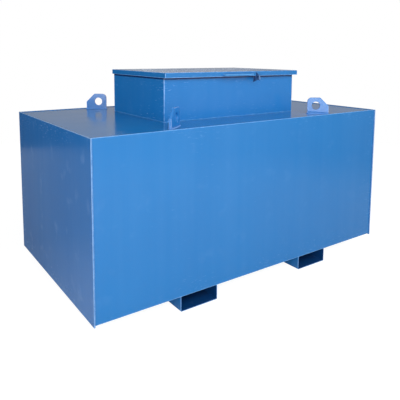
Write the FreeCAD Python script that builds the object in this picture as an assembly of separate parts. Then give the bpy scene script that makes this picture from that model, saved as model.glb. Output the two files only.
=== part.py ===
"""Welded steel hydraulic reservoir with a lockable service box on top.

Millimetres, +Z up, +X along the tank, -Y at its front.  The origin is on the ground, under
the middle of the tank.  One STEP file is written for each piece.
"""
import FreeCAD, Part
import math
import os

Vector = FreeCAD.Vector
UP = Vector(0, 0, 1)
DOWN = Vector(0, 0, -1)
RIGHT = Vector(1, 0, 0)
FRONT = Vector(0, -1, 0)

# Tank
TANK_LENGTH = 2000.0          # over the end plates
TANK_DEPTH = 1132.0           # over the end plates' edges
TANK_HEIGHT = 853.0           # underside of the bottom plate to the walls' upper edge
END_PLATE = 6.0
WALL_PLATE = 5.0
TOP_PLATE = 5.0
EDGE_LIP = 6.0                # end plate beyond the front and rear plates
BOTTOM_LIP = 7.0              # end plate below the bottom plate
TOP_STEP = 3.0                # weld step from the walls' edge down to the top plate
BAFFLE_PLATE = 4.0
BAFFLE_PLACES = {"left": -480.0, "right": 315.0}
BAFFLE_NOTCH = 60.0
BAFFLE_HOLE = 90.0
BAFFLE_HOLE_SPACING = 520.0

# Fork pockets
POCKET_WIDTH = 230.0
POCKET_HEIGHT = 80.0
POCKET_WALL = 5.0
POCKET_BEND = 7.0
POCKET_SPACING = 845.0

# Lifting lugs
LUG_BOX_GAP = 35.0            # box side to the hole centre
LUG_EDGE_INSET = 81.0         # front or rear plate to the hole centre
LUG_TURN = 38.0
LUG_PLATE = 12.0
LUG_HEIGHT = 100.0
LUG_INNER = 52.0              # hole centre to the edge that faces the box
LUG_OUTER = 78.0              # hole centre to the outer edge
LUG_SHOULDER = 48.0
LUG_TOP_REACH = 26.0
LUG_CORNER = 26.0
LUG_HOLE = 25.0
LUG_HOLE_RISE = 50.0

# Service box and its lid
BOX_LENGTH = 960.0
BOX_DEPTH = 610.0
BOX_HEIGHT = 254.5
BOX_SHEET = 3.0
BOX_BEND = 8.0
RIM_WIDTH = 25.0
RIM_PLATE = 3.0
GASKET_WIDTH = 15.0
GASKET_HEIGHT = 8.0
GASKET_INSET = 2.0
LID_SHEET = 2.5
LID_BEND = 4.0
LID_FLANGE = 28.0
LID_FRONT = 30.0
LID_SIDE = 10.0
LID_REAR = 6.0
STIFFENER_SPACING = 340.0
STIFFENER_CROWN = 40.0
STIFFENER_FOOT = 18.0
STIFFENER_DEPTH = 20.0
STIFFENER_SHEET = 2.0
STIFFENER_GAP = 20.0          # stiffener's end to the bar around the box's mouth

# Lid handle and padlock ears
HANDLE_SPAN = 214.0
HANDLE_ROD = 5.0
HANDLE_STANDOFF = 22.0
HANDLE_BEND = 12.0
HANDLE_RISE = 9.0             # above the lid flange's lower edge
EAR_PLATE = 5.0
EAR_GAP = 1.0
EAR_X = 143.5
EAR_HOLE = 7.0
EAR_REACH = 30.0
EAR_DROP = 14.0               # lid flange's lower edge down to the hole
EAR_END = 12.0
EAR_CORNER = 7.0

# Lid hinges
HINGE_SPACING = 600.0
HINGE_LENGTH = 100.0
HINGE_BARREL = 8.0
HINGE_PIN = 4.0
HINGE_BOX_LEAF = 5.5
HINGE_LID_LEAF = 5.0
HINGE_DROP = 7.0              # lid flange's lower edge down to the hinge axis
HINGE_BOX_LEAF_HEIGHT = 70.0
HINGE_LID_LEAF_START = 10.0
HINGE_BOX_KNUCKLE = 30.0
HINGE_GAP = 0.5

# Manhole
MANHOLE_X = -240.0
MANHOLE_Y = 0.0
MANHOLE_HOLE = 175.0
MANHOLE_FLANGE = 215.0
MANHOLE_RING = 12.0
MANHOLE_GASKET = 3.0
MANHOLE_COVER = 8.0
MANHOLE_CHAMFER = 2.0
MANHOLE_BOLT_CIRCLE = 197.0
MANHOLE_BOLTS = 8
BOLT_SHANK = 6.0
BOLT_HEAD_FLATS = 19.0
BOLT_HEAD_HEIGHT = 8.0
BOLT_HOLE_GAP = 0.75
WASHER_RADIUS = 12.0
WASHER_HEIGHT = 2.5

# Filler
FILLER_X = 110.0
FILLER_Y = -170.0
FILLER_NECK = 44.5
FILLER_NECK_WALL = 3.0
FILLER_NECK_HEIGHT = 80.0
FILLER_NECK_BELOW = 20.0
FILLER_RING = 50.0
FILLER_RING_HEIGHT = 14.0
STRAINER_BASKET = 40.0
STRAINER_SHEET = 1.5
STRAINER_RIM = 2.0
STRAINER_DEPTH = 140.0
CAP_SEAL = 2.0
CAP_WALL = 4.0
CAP_SKIRT = 24.0
CAP_TOP = 14.0
CAP_DOME_RADIUS = 30.0
CAP_DOME_HEIGHT = 12.0
CAP_FLUTES = 10
CAP_FLUTE = 4.0
CAP_CLEARANCE = 0.5

# Breather
BREATHER_X = 60.0
BREATHER_Y = 220.0
BREATHER_PIPE = 21.0
BREATHER_PIPE_WALL = 3.0
BREATHER_PIPE_HEIGHT = 55.0
BREATHER_FILTER = 38.0
BREATHER_FILTER_HEIGHT = 95.0

# Suction and return lines
LINE_PLACES = {"suction": 230.0, "return": 400.0}
LINE_Y = 170.0
LINE_RISE = 90.0              # top plate to the centre of the level run
PIPE_RADIUS = 24.15
PIPE_WALL = 3.0
PIPE_BEND = 57.0
PIPE_RUN = 110.0
PIPE_COLLAR = 42.0
PIPE_COLLAR_HEIGHT = 10.0
VALVE_LENGTH = 110.0
VALVE_BULGE = 38.0
VALVE_END = 31.0
VALVE_END_LENGTH = 18.0
VALVE_BORE = 20.0
BALL_RADIUS = 27.0
BALL_CUT = math.radians(62)   # half-angle of the ball between its flats
BALL_BANDS = 8
BALL_WALL = 2.0
STEM_RADIUS = 8.0
GLAND_RADIUS = 14.0
GLAND_RISE = 46.0
RUNNING_GAP = 0.05
LEVER_LENGTH = 140.0
LEVER_WIDTH = 20.0
LEVER_PLATE = 4.0
LEVER_CRANK = 14.0
LEVER_CRANK_START = 26.0
LEVER_CRANK_END = 46.0
NUT_FLATS = 24.0
NUT_HEIGHT = 8.0
PLUG_FLATS = 50.0
PLUG_FLANGE = 31.0
PLUG_FLANGE_HEIGHT = 6.0
PLUG_HEX_HEIGHT = 14.0
END_CAN_RADII = {"suction": 45.0, "return": 38.0}
END_CAN_LENGTHS = {"suction": 140.0, "return": 170.0}
END_CAN_FLOORS = {"suction": 35.0, "return": 90.0}
END_CAN_CAP = 3.0
END_CAN_CAP_HEIGHT = 8.0

# Level gauge
GAUGE_X = 50.0
GAUGE_Y = 20.0
GAUGE_FLANGE = 48.0
GAUGE_FLANGE_HEIGHT = 7.0
GAUGE_BODY = 40.0
GAUGE_HEIGHT = 50.0
GAUGE_FLOOR = 25.0
GAUGE_DIAL = 33.5
GAUGE_DIAL_PLATE = 2.0
GAUGE_LEDGE = 34.0
GAUGE_LEDGE_RISE = 40.0
GAUGE_LENS = 36.7
GAUGE_LENS_PLATE = 4.0
GAUGE_LENS_GAP = 0.2
GAUGE_SHAFT = 3.0
GAUGE_STEM = 10.0
GAUGE_STEM_WALL = 2.0
GAUGE_STEM_LENGTH = 385.0
POINTER_LENGTH = 28.0
POINTER_WIDTH = 3.0
POINTER_PLATE = 1.5
POINTER_LIFT = 5.0
CHEEK_LEFT = 28.0
CHEEK_RIGHT = 47.0
CHEEK_PLATE = 3.0
CHEEK_HALF_WIDTH = 12.0
CHEEK_WEB = 4.0
CHEEK_END = 12.0
AXLE_DROP = 45.0
AXLE_RADIUS = 4.0
GEAR_PITCH = 20.0
GEAR_TEETH = 24
PINION_TEETH = 12
GEAR_FACE = 0.3               # share of the cone that the toothed face covers
TOOTH_LEDGE = 0.01            # share of the cone left bare at each end of a tooth
TOOTH_TIP = 1.1               # pitch cone out to a tooth's tip
TOOTH_ROOT = 1.6              # pitch cone in to a tooth's root
TOOTH_SINK = 0.3
TOOTH_PLAY = 0.5              # a tooth is this much thinner than half the pitch
TOOTH_FLANK = math.radians(20)
GEAR_RIM = 1.5                # metal behind a tooth's root
HUB_RADIUS = 9.0
HUB_LENGTH = 30.0
ARM_LENGTH = 400.0
ARM_RADIUS = 4.0
ARM_DIP = 55.0
FLOAT_RADIUS = 35.0
FLOAT_LENGTH = 100.0
FLOAT_BEND = 12.0

# Levels and faces that follow from the sizes above
TANK_BOTTOM = POCKET_HEIGHT
WALL_TOP = TANK_BOTTOM + TANK_HEIGHT
DECK = WALL_TOP - TOP_STEP
DECK_UNDERSIDE = DECK - TOP_PLATE
FLOOR = TANK_BOTTOM + WALL_PLATE
END_FACE = TANK_LENGTH / 2 - END_PLATE
FRONT_FACE = TANK_DEPTH / 2 - EDGE_LIP
INNER_FACE = FRONT_FACE - WALL_PLATE
BOX_SIDE = BOX_LENGTH / 2
BOX_FACE = BOX_DEPTH / 2
BOX_TOP = DECK + BOX_HEIGHT
LID_UNDERSIDE = BOX_TOP + GASKET_HEIGHT
LID_TOP = LID_UNDERSIDE + LID_SHEET
LID_EDGE = LID_TOP - LID_FLANGE
LID_FRONT_FACE = -BOX_FACE - LID_FRONT
LID_REAR_FACE = BOX_FACE + LID_REAR
HINGE_Y = LID_REAR_FACE + HINGE_BARREL
HINGE_Z = LID_EDGE - HINGE_DROP
LUG_X = BOX_SIDE + LUG_BOX_GAP
LUG_Y = INNER_FACE - LUG_EDGE_INSET
LINE_Z = DECK + LINE_RISE
AXLE_Z = DECK - GAUGE_STEM_LENGTH - AXLE_DROP
PINION_PITCH = GEAR_PITCH * PINION_TEETH / GEAR_TEETH

pieces = {}


def block(x, y, z):
    """Return a box from three (low, high) pairs."""
    size = (x[1] - x[0], y[1] - y[0], z[1] - z[0])
    return Part.makeBox(size[0], size[1], size[2], Vector(x[0], y[0], z[0]))


def rod(radius, start, direction, length):
    """Return a cylinder that starts at a point and runs along a direction."""
    return Part.makeCylinder(radius, length, start, direction)


def ring(outer, inner, start, direction, length):
    """Return a plain ring or short tube."""
    return rod(outer, start, direction, length).cut(rod(inner, start, direction, length))


def prism(points, direction):
    """Return the solid swept by a closed outline of points along a straight vector."""
    outline = Part.makePolygon(list(points) + [points[0]])
    return Part.Face(outline).extrude(direction)


def hexagon(flats, start, direction, length):
    """Return a hexagonal prism with the given width across flats."""
    corner = flats / math.sqrt(3)
    turns = [math.radians(60 * step) for step in range(6)]
    points = [Vector(corner * math.cos(turn), corner * math.sin(turn), 0) for turn in turns]
    solid = prism(points, UP * length)
    solid.Placement = FreeCAD.Placement(start, FreeCAD.Rotation(UP, direction))
    return solid


def turned(profile, start, direction):
    """Return a solid of revolution from (radius, height) points along a direction."""
    points = [Vector(radius, 0, height) for radius, height in profile]
    outline = Part.makePolygon(points + [points[0]])
    solid = Part.Face(outline).revolve(Vector(0, 0, 0), UP, 360)
    solid.Placement = FreeCAD.Placement(start, FreeCAD.Rotation(UP, direction))
    return solid


def route(points, bend):
    """Return a wire of straight runs joined by tangent arcs of one radius."""
    edges = []
    last = points[0]
    for before, corner, after in zip(points, points[1:], points[2:]):
        inward = (before - corner).normalize()
        outward = (after - corner).normalize()
        half_angle = inward.getAngle(outward) / 2
        reach = bend / math.tan(half_angle)
        middle = (inward + outward).normalize() * (bend / math.sin(half_angle) - bend)
        start = corner + inward * reach
        end = corner + outward * reach
        edges.append(Part.makeLine(last, start))
        edges.append(Part.Arc(start, corner + middle, end).toShape())
        last = end
    edges.append(Part.makeLine(last, points[-1]))
    return Part.Wire(edges)


def bent_rod(points, bend, radius):
    """Return a round bar bent along a route."""
    path = route(points, bend)
    section = Part.Wire(Part.makeCircle(radius, points[0], points[1] - points[0]))
    return path.makePipeShell([section], True, True)


def upright_edges(solid, side):
    """Return a box's vertical edges, or only those on its front when side is 'front'."""
    bounds = solid.BoundBox
    chosen = []
    for edge in solid.Edges:
        tall = abs(edge.BoundBox.ZLength - bounds.ZLength) < 1e-6
        if tall and (side == "all" or abs(edge.BoundBox.YMin - bounds.YMin) < 1e-6):
            chosen.append(edge)
    return chosen


def top_edges(solid):
    """Return the edges around a box's upper face."""
    top = solid.BoundBox.ZMax
    return [edge for edge in solid.Edges if abs(edge.BoundBox.ZMin - top) < 1e-6]


def make_end_plates():
    """Flat end plates that stand past the walls and the floor."""
    for name, side in (("left", -1), ("right", 1)):
        faces = sorted((side * END_FACE, side * TANK_LENGTH / 2))
        depth = (-TANK_DEPTH / 2, TANK_DEPTH / 2)
        plate = block(faces, depth, (TANK_BOTTOM - BOTTOM_LIP, WALL_TOP))
        pieces[name + "_end_plate"] = plate


def make_walls():
    """Front and rear plates between the end plates, and the floor between them."""
    length = (-END_FACE, END_FACE)
    height = (TANK_BOTTOM, WALL_TOP)
    pieces["front_plate"] = block(length, (-FRONT_FACE, -INNER_FACE), height)
    pieces["rear_plate"] = block(length, (INNER_FACE, FRONT_FACE), height)
    pieces["bottom_plate"] = block(length, (-INNER_FACE, INNER_FACE), (TANK_BOTTOM, FLOOR))


def make_top_plate():
    """Top plate let in below the walls' edge, with a hole for each fitting."""
    plate = block((-END_FACE, END_FACE), (-INNER_FACE, INNER_FACE), (DECK_UNDERSIDE, DECK))
    holes = [
        (MANHOLE_X, MANHOLE_Y, MANHOLE_HOLE),
        (FILLER_X, FILLER_Y, FILLER_NECK + CAP_CLEARANCE),
        (BREATHER_X, BREATHER_Y, BREATHER_PIPE + CAP_CLEARANCE),
        (GAUGE_X, GAUGE_Y, GAUGE_STEM + CAP_CLEARANCE),
    ]
    for x in LINE_PLACES.values():
        holes.append((x, LINE_Y, PIPE_RADIUS + CAP_CLEARANCE))
    for x, y, radius in holes:
        plate = plate.cut(rod(radius, Vector(x, y, DECK_UNDERSIDE), UP, TOP_PLATE))
    pieces["top_plate"] = plate


def make_baffles():
    """Cross plates that stop the oil surging, with flow holes and notched corners."""
    for name, x in BAFFLE_PLACES.items():
        thickness = (x - BAFFLE_PLATE / 2, x + BAFFLE_PLATE / 2)
        plate = block(thickness, (-INNER_FACE, INNER_FACE), (FLOOR, DECK_UNDERSIDE))
        start_x = x - BAFFLE_PLATE / 2
        for y in (-INNER_FACE, INNER_FACE):
            for z in (FLOOR, DECK_UNDERSIDE):
                notch = rod(BAFFLE_NOTCH, Vector(start_x, y, z), RIGHT, BAFFLE_PLATE)
                plate = plate.cut(notch)
        middle = (FLOOR + DECK_UNDERSIDE) / 2
        for y in (-BAFFLE_HOLE_SPACING / 2, BAFFLE_HOLE_SPACING / 2):
            hole = rod(BAFFLE_HOLE, Vector(start_x, y, middle), RIGHT, BAFFLE_PLATE)
            plate = plate.cut(hole)
        pieces["baffle_" + name] = plate


def make_fork_pockets():
    """Folded channels under the tank, open at both ends for the forks of a truck."""
    for name, side in (("left", -1), ("right", 1)):
        x = side * POCKET_SPACING / 2
        half = POCKET_WIDTH / 2
        height = POCKET_HEIGHT + POCKET_BEND
        outer = block((x - half, x + half), (-FRONT_FACE, FRONT_FACE), (0, height))
        inner_x = (x - half + POCKET_WALL, x + half - POCKET_WALL)
        inner = block(inner_x, (-FRONT_FACE, FRONT_FACE), (POCKET_WALL, height))
        outer = outer.makeFillet(POCKET_BEND, lower_side_edges(outer))
        inner = inner.makeFillet(POCKET_BEND - POCKET_WALL, lower_side_edges(inner))
        above = block((x - half, x + half), (-FRONT_FACE, FRONT_FACE), (POCKET_HEIGHT, height))
        pieces["fork_pocket_" + name] = outer.cut(inner).cut(above)


def lower_side_edges(solid):
    """Return the two long lower edges of a channel's block."""
    bounds = solid.BoundBox
    chosen = []
    for edge in solid.Edges:
        low = abs(edge.BoundBox.ZMax - bounds.ZMin) < 1e-6
        if low and abs(edge.BoundBox.YLength - bounds.YLength) < 1e-6:
            chosen.append(edge)
    return chosen


def make_lifting_lugs():
    """Four lugs that stand on the deck and point at the middle of the tank."""
    top_start = LUG_INNER - LUG_CORNER
    corner_middle = LUG_CORNER * (1 - math.sqrt(0.5))
    arc = Part.Arc(
        Vector(LUG_INNER, 0, LUG_HEIGHT - LUG_CORNER),
        Vector(LUG_INNER - corner_middle, 0, LUG_HEIGHT - corner_middle),
        Vector(top_start, 0, LUG_HEIGHT),
    )
    runs = [
        Vector(top_start, 0, LUG_HEIGHT),
        Vector(-LUG_TOP_REACH, 0, LUG_HEIGHT),
        Vector(-LUG_OUTER, 0, LUG_SHOULDER),
        Vector(-LUG_OUTER, 0, 0),
        Vector(LUG_INNER, 0, 0),
        Vector(LUG_INNER, 0, LUG_HEIGHT - LUG_CORNER),
    ]
    edges = [arc.toShape()]
    edges += [Part.makeLine(start, end) for start, end in zip(runs, runs[1:])]
    outline = Part.Face(Part.Wire(edges))
    plate = outline.extrude(Vector(0, LUG_PLATE, 0))
    plate.translate(Vector(0, -LUG_PLATE / 2, 0))
    hole_start = Vector(0, -LUG_PLATE / 2, LUG_HOLE_RISE)
    plate = plate.cut(rod(LUG_HOLE, hole_start, Vector(0, 1, 0), LUG_PLATE))
    inward_turns = {
        "rear_right": 180 + LUG_TURN,
        "rear_left": -LUG_TURN,
        "front_left": LUG_TURN,
        "front_right": 180 - LUG_TURN,
    }
    for name, turn in inward_turns.items():
        x = LUG_X if "right" in name else -LUG_X
        y = LUG_Y if "rear" in name else -LUG_Y
        lug = plate.copy()
        lug.Placement = FreeCAD.Placement(Vector(x, y, DECK), FreeCAD.Rotation(UP, turn))
        pieces["lifting_lug_" + name] = lug


def make_service_box():
    """Folded front and sides in one sheet, a rear wall, and a flat bar around the mouth."""
    height = (DECK, BOX_TOP)
    outer = block((-BOX_SIDE, BOX_SIDE), (-BOX_FACE, BOX_FACE), height)
    outer = outer.makeFillet(BOX_BEND, upright_edges(outer, "front"))
    side = BOX_SIDE - BOX_SHEET
    inner = block((-side, side), (-BOX_FACE + BOX_SHEET, BOX_FACE), height)
    inner = inner.makeFillet(BOX_BEND - BOX_SHEET, upright_edges(inner, "front"))
    pieces["service_box_wrap"] = outer.cut(inner)
    face = BOX_FACE - BOX_SHEET
    pieces["service_box_rear_wall"] = block((-side, side), (face, BOX_FACE), height)
    rim_height = (BOX_TOP - RIM_PLATE, BOX_TOP)
    bar = block((-side, side), (-face, face), rim_height)
    bar = bar.makeFillet(BOX_BEND - BOX_SHEET, upright_edges(bar, "front"))
    mouth = block((RIM_WIDTH - side, side - RIM_WIDTH), (RIM_WIDTH - face, face - RIM_WIDTH), rim_height)
    pieces["service_box_rim"] = bar.cut(mouth)


def make_lid():
    """Folded lid with down-turned flanges, a rubber seal and two hat-section stiffeners."""
    x = BOX_SIDE + LID_SIDE
    height = (LID_EDGE, LID_TOP)
    outer = block((-x, x), (LID_FRONT_FACE, LID_REAR_FACE), height)
    outer = outer.makeFillet(LID_BEND, upright_edges(outer, "all") + top_edges(outer))
    inner_x = x - LID_SHEET
    inner_y = (LID_FRONT_FACE + LID_SHEET, LID_REAR_FACE - LID_SHEET)
    inner = block((-inner_x, inner_x), inner_y, (LID_EDGE, LID_UNDERSIDE))
    inner_edges = upright_edges(inner, "all") + top_edges(inner)
    inner = inner.makeFillet(LID_BEND - LID_SHEET, inner_edges)
    pieces["lid_panel"] = outer.cut(inner)
    seal_x = BOX_SIDE - BOX_SHEET - GASKET_INSET
    seal_y = BOX_FACE - BOX_SHEET - GASKET_INSET
    seal_height = (BOX_TOP, LID_UNDERSIDE)
    seal = block((-seal_x, seal_x), (-seal_y, seal_y), seal_height)
    inner_seal_x = seal_x - GASKET_WIDTH
    inner_seal_y = seal_y - GASKET_WIDTH
    hollow = block((-inner_seal_x, inner_seal_x), (-inner_seal_y, inner_seal_y), seal_height)
    pieces["lid_gasket"] = seal.cut(hollow)
    hats = [hat_section(side * STIFFENER_SPACING / 2) for side in (-1, 1)]
    pieces["lid_stiffeners"] = Part.makeCompound(hats)


def hat_section(x):
    """Return a hat-section stiffener under the lid, centred on x."""
    half = STIFFENER_CROWN / 2
    foot = half + STIFFENER_FOOT
    low = -STIFFENER_DEPTH
    sheet = STIFFENER_SHEET
    right = [(foot, 0), (foot, -sheet), (half, -sheet), (half, low)]
    inside = [(half - sheet, 0), (half - sheet, low + sheet)]
    outline = right + [(-a, b) for a, b in reversed(right)]
    outline += [(-a, b) for a, b in inside] + list(reversed(inside))
    y = BOX_FACE - BOX_SHEET - RIM_WIDTH - STIFFENER_GAP
    points = [Vector(x + a, -y, LID_UNDERSIDE + b) for a, b in outline]
    return prism(points, Vector(0, 2 * y, 0))


def make_handle():
    """Round bar handle welded to the lid's front flange."""
    half = HANDLE_SPAN / 2
    z = LID_EDGE + HANDLE_RISE
    out = LID_FRONT_FACE - HANDLE_STANDOFF
    points = [
        Vector(-half, LID_FRONT_FACE, z),
        Vector(-half, out, z),
        Vector(half, out, z),
        Vector(half, LID_FRONT_FACE, z),
    ]
    pieces["lid_handle"] = bent_rod(points, HANDLE_BEND, HANDLE_ROD)


def make_padlock_ears():
    """Two plates side by side, one on the lid and one on the box, with a hole for a padlock."""
    hole_y = LID_FRONT_FACE - EAR_REACH / 2
    hole_z = LID_EDGE - EAR_DROP
    tip = LID_FRONT_FACE - EAR_REACH
    lid_edge_x = EAR_X - EAR_GAP / 2
    box_edge_x = EAR_X + EAR_GAP / 2
    lid_outline = [
        (LID_FRONT_FACE, LID_TOP - LID_BEND),
        (LID_FRONT_FACE, hole_z - EAR_END),
        (tip, hole_z - EAR_END),
        (tip, LID_EDGE),
    ]
    lid_ear = ear(lid_outline, lid_edge_x - EAR_PLATE, hole_y, hole_z)
    box_outline = [
        (-BOX_FACE, hole_z + EAR_END),
        (-BOX_FACE, hole_z - 2 * EAR_END),
        (LID_FRONT_FACE, hole_z - EAR_END),
        (tip, hole_z - EAR_END),
        (tip, hole_z + EAR_END),
    ]
    pieces["lid_padlock_ear"] = lid_ear
    pieces["box_padlock_ear"] = ear(box_outline, box_edge_x, hole_y, hole_z)


def ear(outline, x, hole_y, hole_z):
    """Return a padlock ear from its (y, z) outline, with its lower edge at x."""
    plate = prism([Vector(x, y, z) for y, z in outline], RIGHT * EAR_PLATE)
    tip = plate.BoundBox.YMin
    corners = [edge for edge in plate.Edges if is_tip_corner(edge, tip)]
    plate = plate.makeFillet(EAR_CORNER, corners)
    return plate.cut(rod(EAR_HOLE, Vector(x, hole_y, hole_z), RIGHT, EAR_PLATE))


def is_tip_corner(edge, tip):
    """Tell whether an edge crosses an ear's plate at its outer end."""
    start, end = edge.Vertexes[0].Point, edge.Vertexes[-1].Point
    return abs(start.y - tip) + abs(end.y - tip) < 0.01 and abs(start.x - end.x) > EAR_PLATE / 2


def make_hinges():
    """Two butt hinges behind the box, each with a welded leaf on the box and one on the lid."""
    pins = []
    for name, side in (("left", -1), ("right", 1)):
        start = side * HINGE_SPACING / 2 - HINGE_LENGTH / 2
        end = start + HINGE_LENGTH
        axis = Vector(start, HINGE_Y, HINGE_Z)
        bore = rod(HINGE_PIN + RUNNING_GAP, axis, RIGHT, HINGE_LENGTH)
        box_leaf = block(
            (start, end),
            (BOX_FACE, BOX_FACE + HINGE_BOX_LEAF),
            (HINGE_Z - HINGE_BOX_LEAF_HEIGHT, HINGE_Z),
        )
        for knuckle in (start, end - HINGE_BOX_KNUCKLE):
            span = (knuckle, knuckle + HINGE_BOX_KNUCKLE)
            web = block(span, (BOX_FACE, HINGE_Y), (HINGE_Z - HINGE_BARREL, HINGE_Z))
            centre = Vector(knuckle, HINGE_Y, HINGE_Z)
            barrel = rod(HINGE_BARREL, centre, RIGHT, HINGE_BOX_KNUCKLE)
            box_leaf = box_leaf.fuse([web, barrel])
        pieces["hinge_%s_box_leaf" % name] = box_leaf.cut(bore).removeSplitter()
        leaf_face = (LID_REAR_FACE, LID_REAR_FACE + HINGE_LID_LEAF)
        leaf_start = HINGE_Z + HINGE_LID_LEAF_START
        leaf_end = LID_TOP - LID_BEND
        lid_leaf = block((start, end), leaf_face, (leaf_start, leaf_end))
        middle = start + HINGE_BOX_KNUCKLE + HINGE_GAP
        middle_length = HINGE_LENGTH - 2 * (HINGE_BOX_KNUCKLE + HINGE_GAP)
        strap = block((middle, middle + middle_length), leaf_face, (HINGE_Z, leaf_start))
        barrel = rod(HINGE_BARREL, Vector(middle, HINGE_Y, HINGE_Z), RIGHT, middle_length)
        lid_leaf = lid_leaf.fuse([strap, barrel])
        pieces["hinge_%s_lid_leaf" % name] = lid_leaf.cut(bore).removeSplitter()
        pins.append(rod(HINGE_PIN, axis, RIGHT, HINGE_LENGTH))
    pieces["hinge_pins"] = Part.makeCompound(pins)


def make_manhole():
    """Welded ring, gasket, cover and bolts of the inspection opening."""
    base = Vector(MANHOLE_X, MANHOLE_Y, DECK)
    gasket_base = base + UP * MANHOLE_RING
    cover_base = gasket_base + UP * MANHOLE_GASKET
    ring_shape = ring(MANHOLE_FLANGE, MANHOLE_HOLE, base, UP, MANHOLE_RING)
    gasket = ring(MANHOLE_FLANGE, MANHOLE_HOLE, gasket_base, UP, MANHOLE_GASKET)
    top = MANHOLE_COVER - MANHOLE_CHAMFER
    profile = [
        (0, 0),
        (MANHOLE_FLANGE, 0),
        (MANHOLE_FLANGE, top),
        (MANHOLE_FLANGE - MANHOLE_CHAMFER, MANHOLE_COVER),
        (0, MANHOLE_COVER),
    ]
    cover = turned(profile, cover_base, UP)
    bolts = []
    clear = BOLT_SHANK + BOLT_HOLE_GAP
    depth = MANHOLE_RING + MANHOLE_GASKET + MANHOLE_COVER
    for number in range(MANHOLE_BOLTS):
        turn = 2 * math.pi * (number + 0.5) / MANHOLE_BOLTS
        offset = Vector(math.cos(turn), math.sin(turn), 0) * MANHOLE_BOLT_CIRCLE
        cover = cover.cut(rod(clear, cover_base + offset, UP, MANHOLE_COVER))
        gasket = gasket.cut(rod(clear, gasket_base + offset, UP, MANHOLE_GASKET))
        ring_shape = ring_shape.cut(rod(BOLT_SHANK, base + offset, UP, MANHOLE_RING))
        seat = cover_base + offset + UP * MANHOLE_COVER
        washer = rod(WASHER_RADIUS, seat, UP, WASHER_HEIGHT)
        head_start = seat + UP * WASHER_HEIGHT
        head = hexagon(BOLT_HEAD_FLATS, head_start, UP, BOLT_HEAD_HEIGHT)
        shank = rod(BOLT_SHANK, seat, DOWN, depth)
        bolts.append(washer.fuse([head, shank]).removeSplitter())
    pieces["manhole_ring"] = ring_shape
    pieces["manhole_gasket"] = gasket
    pieces["manhole_cover"] = cover
    pieces["manhole_bolts"] = Part.makeCompound(bolts)


def make_filler():
    """Filler neck with a strainer basket, a seal and a fluted screw cap."""
    base = Vector(FILLER_X, FILLER_Y, DECK)
    height = FILLER_NECK_HEIGHT
    bore = FILLER_NECK - FILLER_NECK_WALL
    neck = [
        (bore, -FILLER_NECK_BELOW),
        (FILLER_NECK, -FILLER_NECK_BELOW),
        (FILLER_NECK, height - FILLER_RING_HEIGHT),
        (FILLER_RING, height - FILLER_RING_HEIGHT),
        (FILLER_RING, height),
        (bore, height),
    ]
    pieces["filler_neck"] = turned(neck, base, UP)
    rim = height + STRAINER_RIM
    basket_bore = STRAINER_BASKET - STRAINER_SHEET
    floor = height - STRAINER_DEPTH
    basket = [
        (0, floor),
        (STRAINER_BASKET, floor),
        (STRAINER_BASKET, height),
        (FILLER_RING, height),
        (FILLER_RING, rim),
        (basket_bore, rim),
        (basket_bore, floor + STRAINER_SHEET),
        (0, floor + STRAINER_SHEET),
    ]
    pieces["filler_strainer"] = turned(basket, base, UP)
    seal_start = base + UP * rim
    pieces["filler_cap_seal"] = ring(FILLER_RING, bore, seal_start, UP, CAP_SEAL)
    inner = FILLER_RING + CAP_CLEARANCE
    outer = inner + CAP_WALL
    cap = [
        (0, 0),
        (inner, 0),
        (inner, -CAP_SKIRT),
        (outer, -CAP_SKIRT),
        (outer, CAP_TOP - CAP_WALL),
        (outer - CAP_WALL, CAP_TOP),
        (CAP_DOME_RADIUS, CAP_TOP),
        (CAP_DOME_RADIUS, CAP_TOP + CAP_DOME_HEIGHT - CAP_WALL),
        (CAP_DOME_RADIUS - CAP_WALL, CAP_TOP + CAP_DOME_HEIGHT),
        (0, CAP_TOP + CAP_DOME_HEIGHT),
    ]
    cap_base = seal_start + UP * CAP_SEAL
    shell = turned(cap, cap_base, UP)
    flute_length = CAP_SKIRT + CAP_TOP
    for number in range(CAP_FLUTES):
        turn = 2 * math.pi * number / CAP_FLUTES
        reach = outer + CAP_FLUTE / 2
        offset = Vector(math.cos(turn), math.sin(turn), 0) * reach
        flute_start = cap_base + offset + DOWN * CAP_SKIRT
        shell = shell.cut(rod(CAP_FLUTE, flute_start, UP, flute_length))
    pieces["filler_cap"] = shell


def make_breather():
    """Vent pipe with an air filter canister screwed on it."""
    base = Vector(BREATHER_X, BREATHER_Y, DECK)
    below = base + DOWN * FILLER_NECK_BELOW
    length = BREATHER_PIPE_HEIGHT + FILLER_NECK_BELOW
    bore = BREATHER_PIPE - BREATHER_PIPE_WALL
    pieces["breather_pipe"] = ring(BREATHER_PIPE, bore, below, UP, length)
    radius = BREATHER_FILTER
    height = BREATHER_FILTER_HEIGHT
    bevel = radius / 5
    canister = [
        (0, 0),
        (radius - bevel, 0),
        (radius, bevel),
        (radius, height - bevel),
        (radius - bevel, height),
        (0, height),
    ]
    pieces["breather_filter"] = turned(canister, base + UP * BREATHER_PIPE_HEIGHT, UP)


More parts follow.
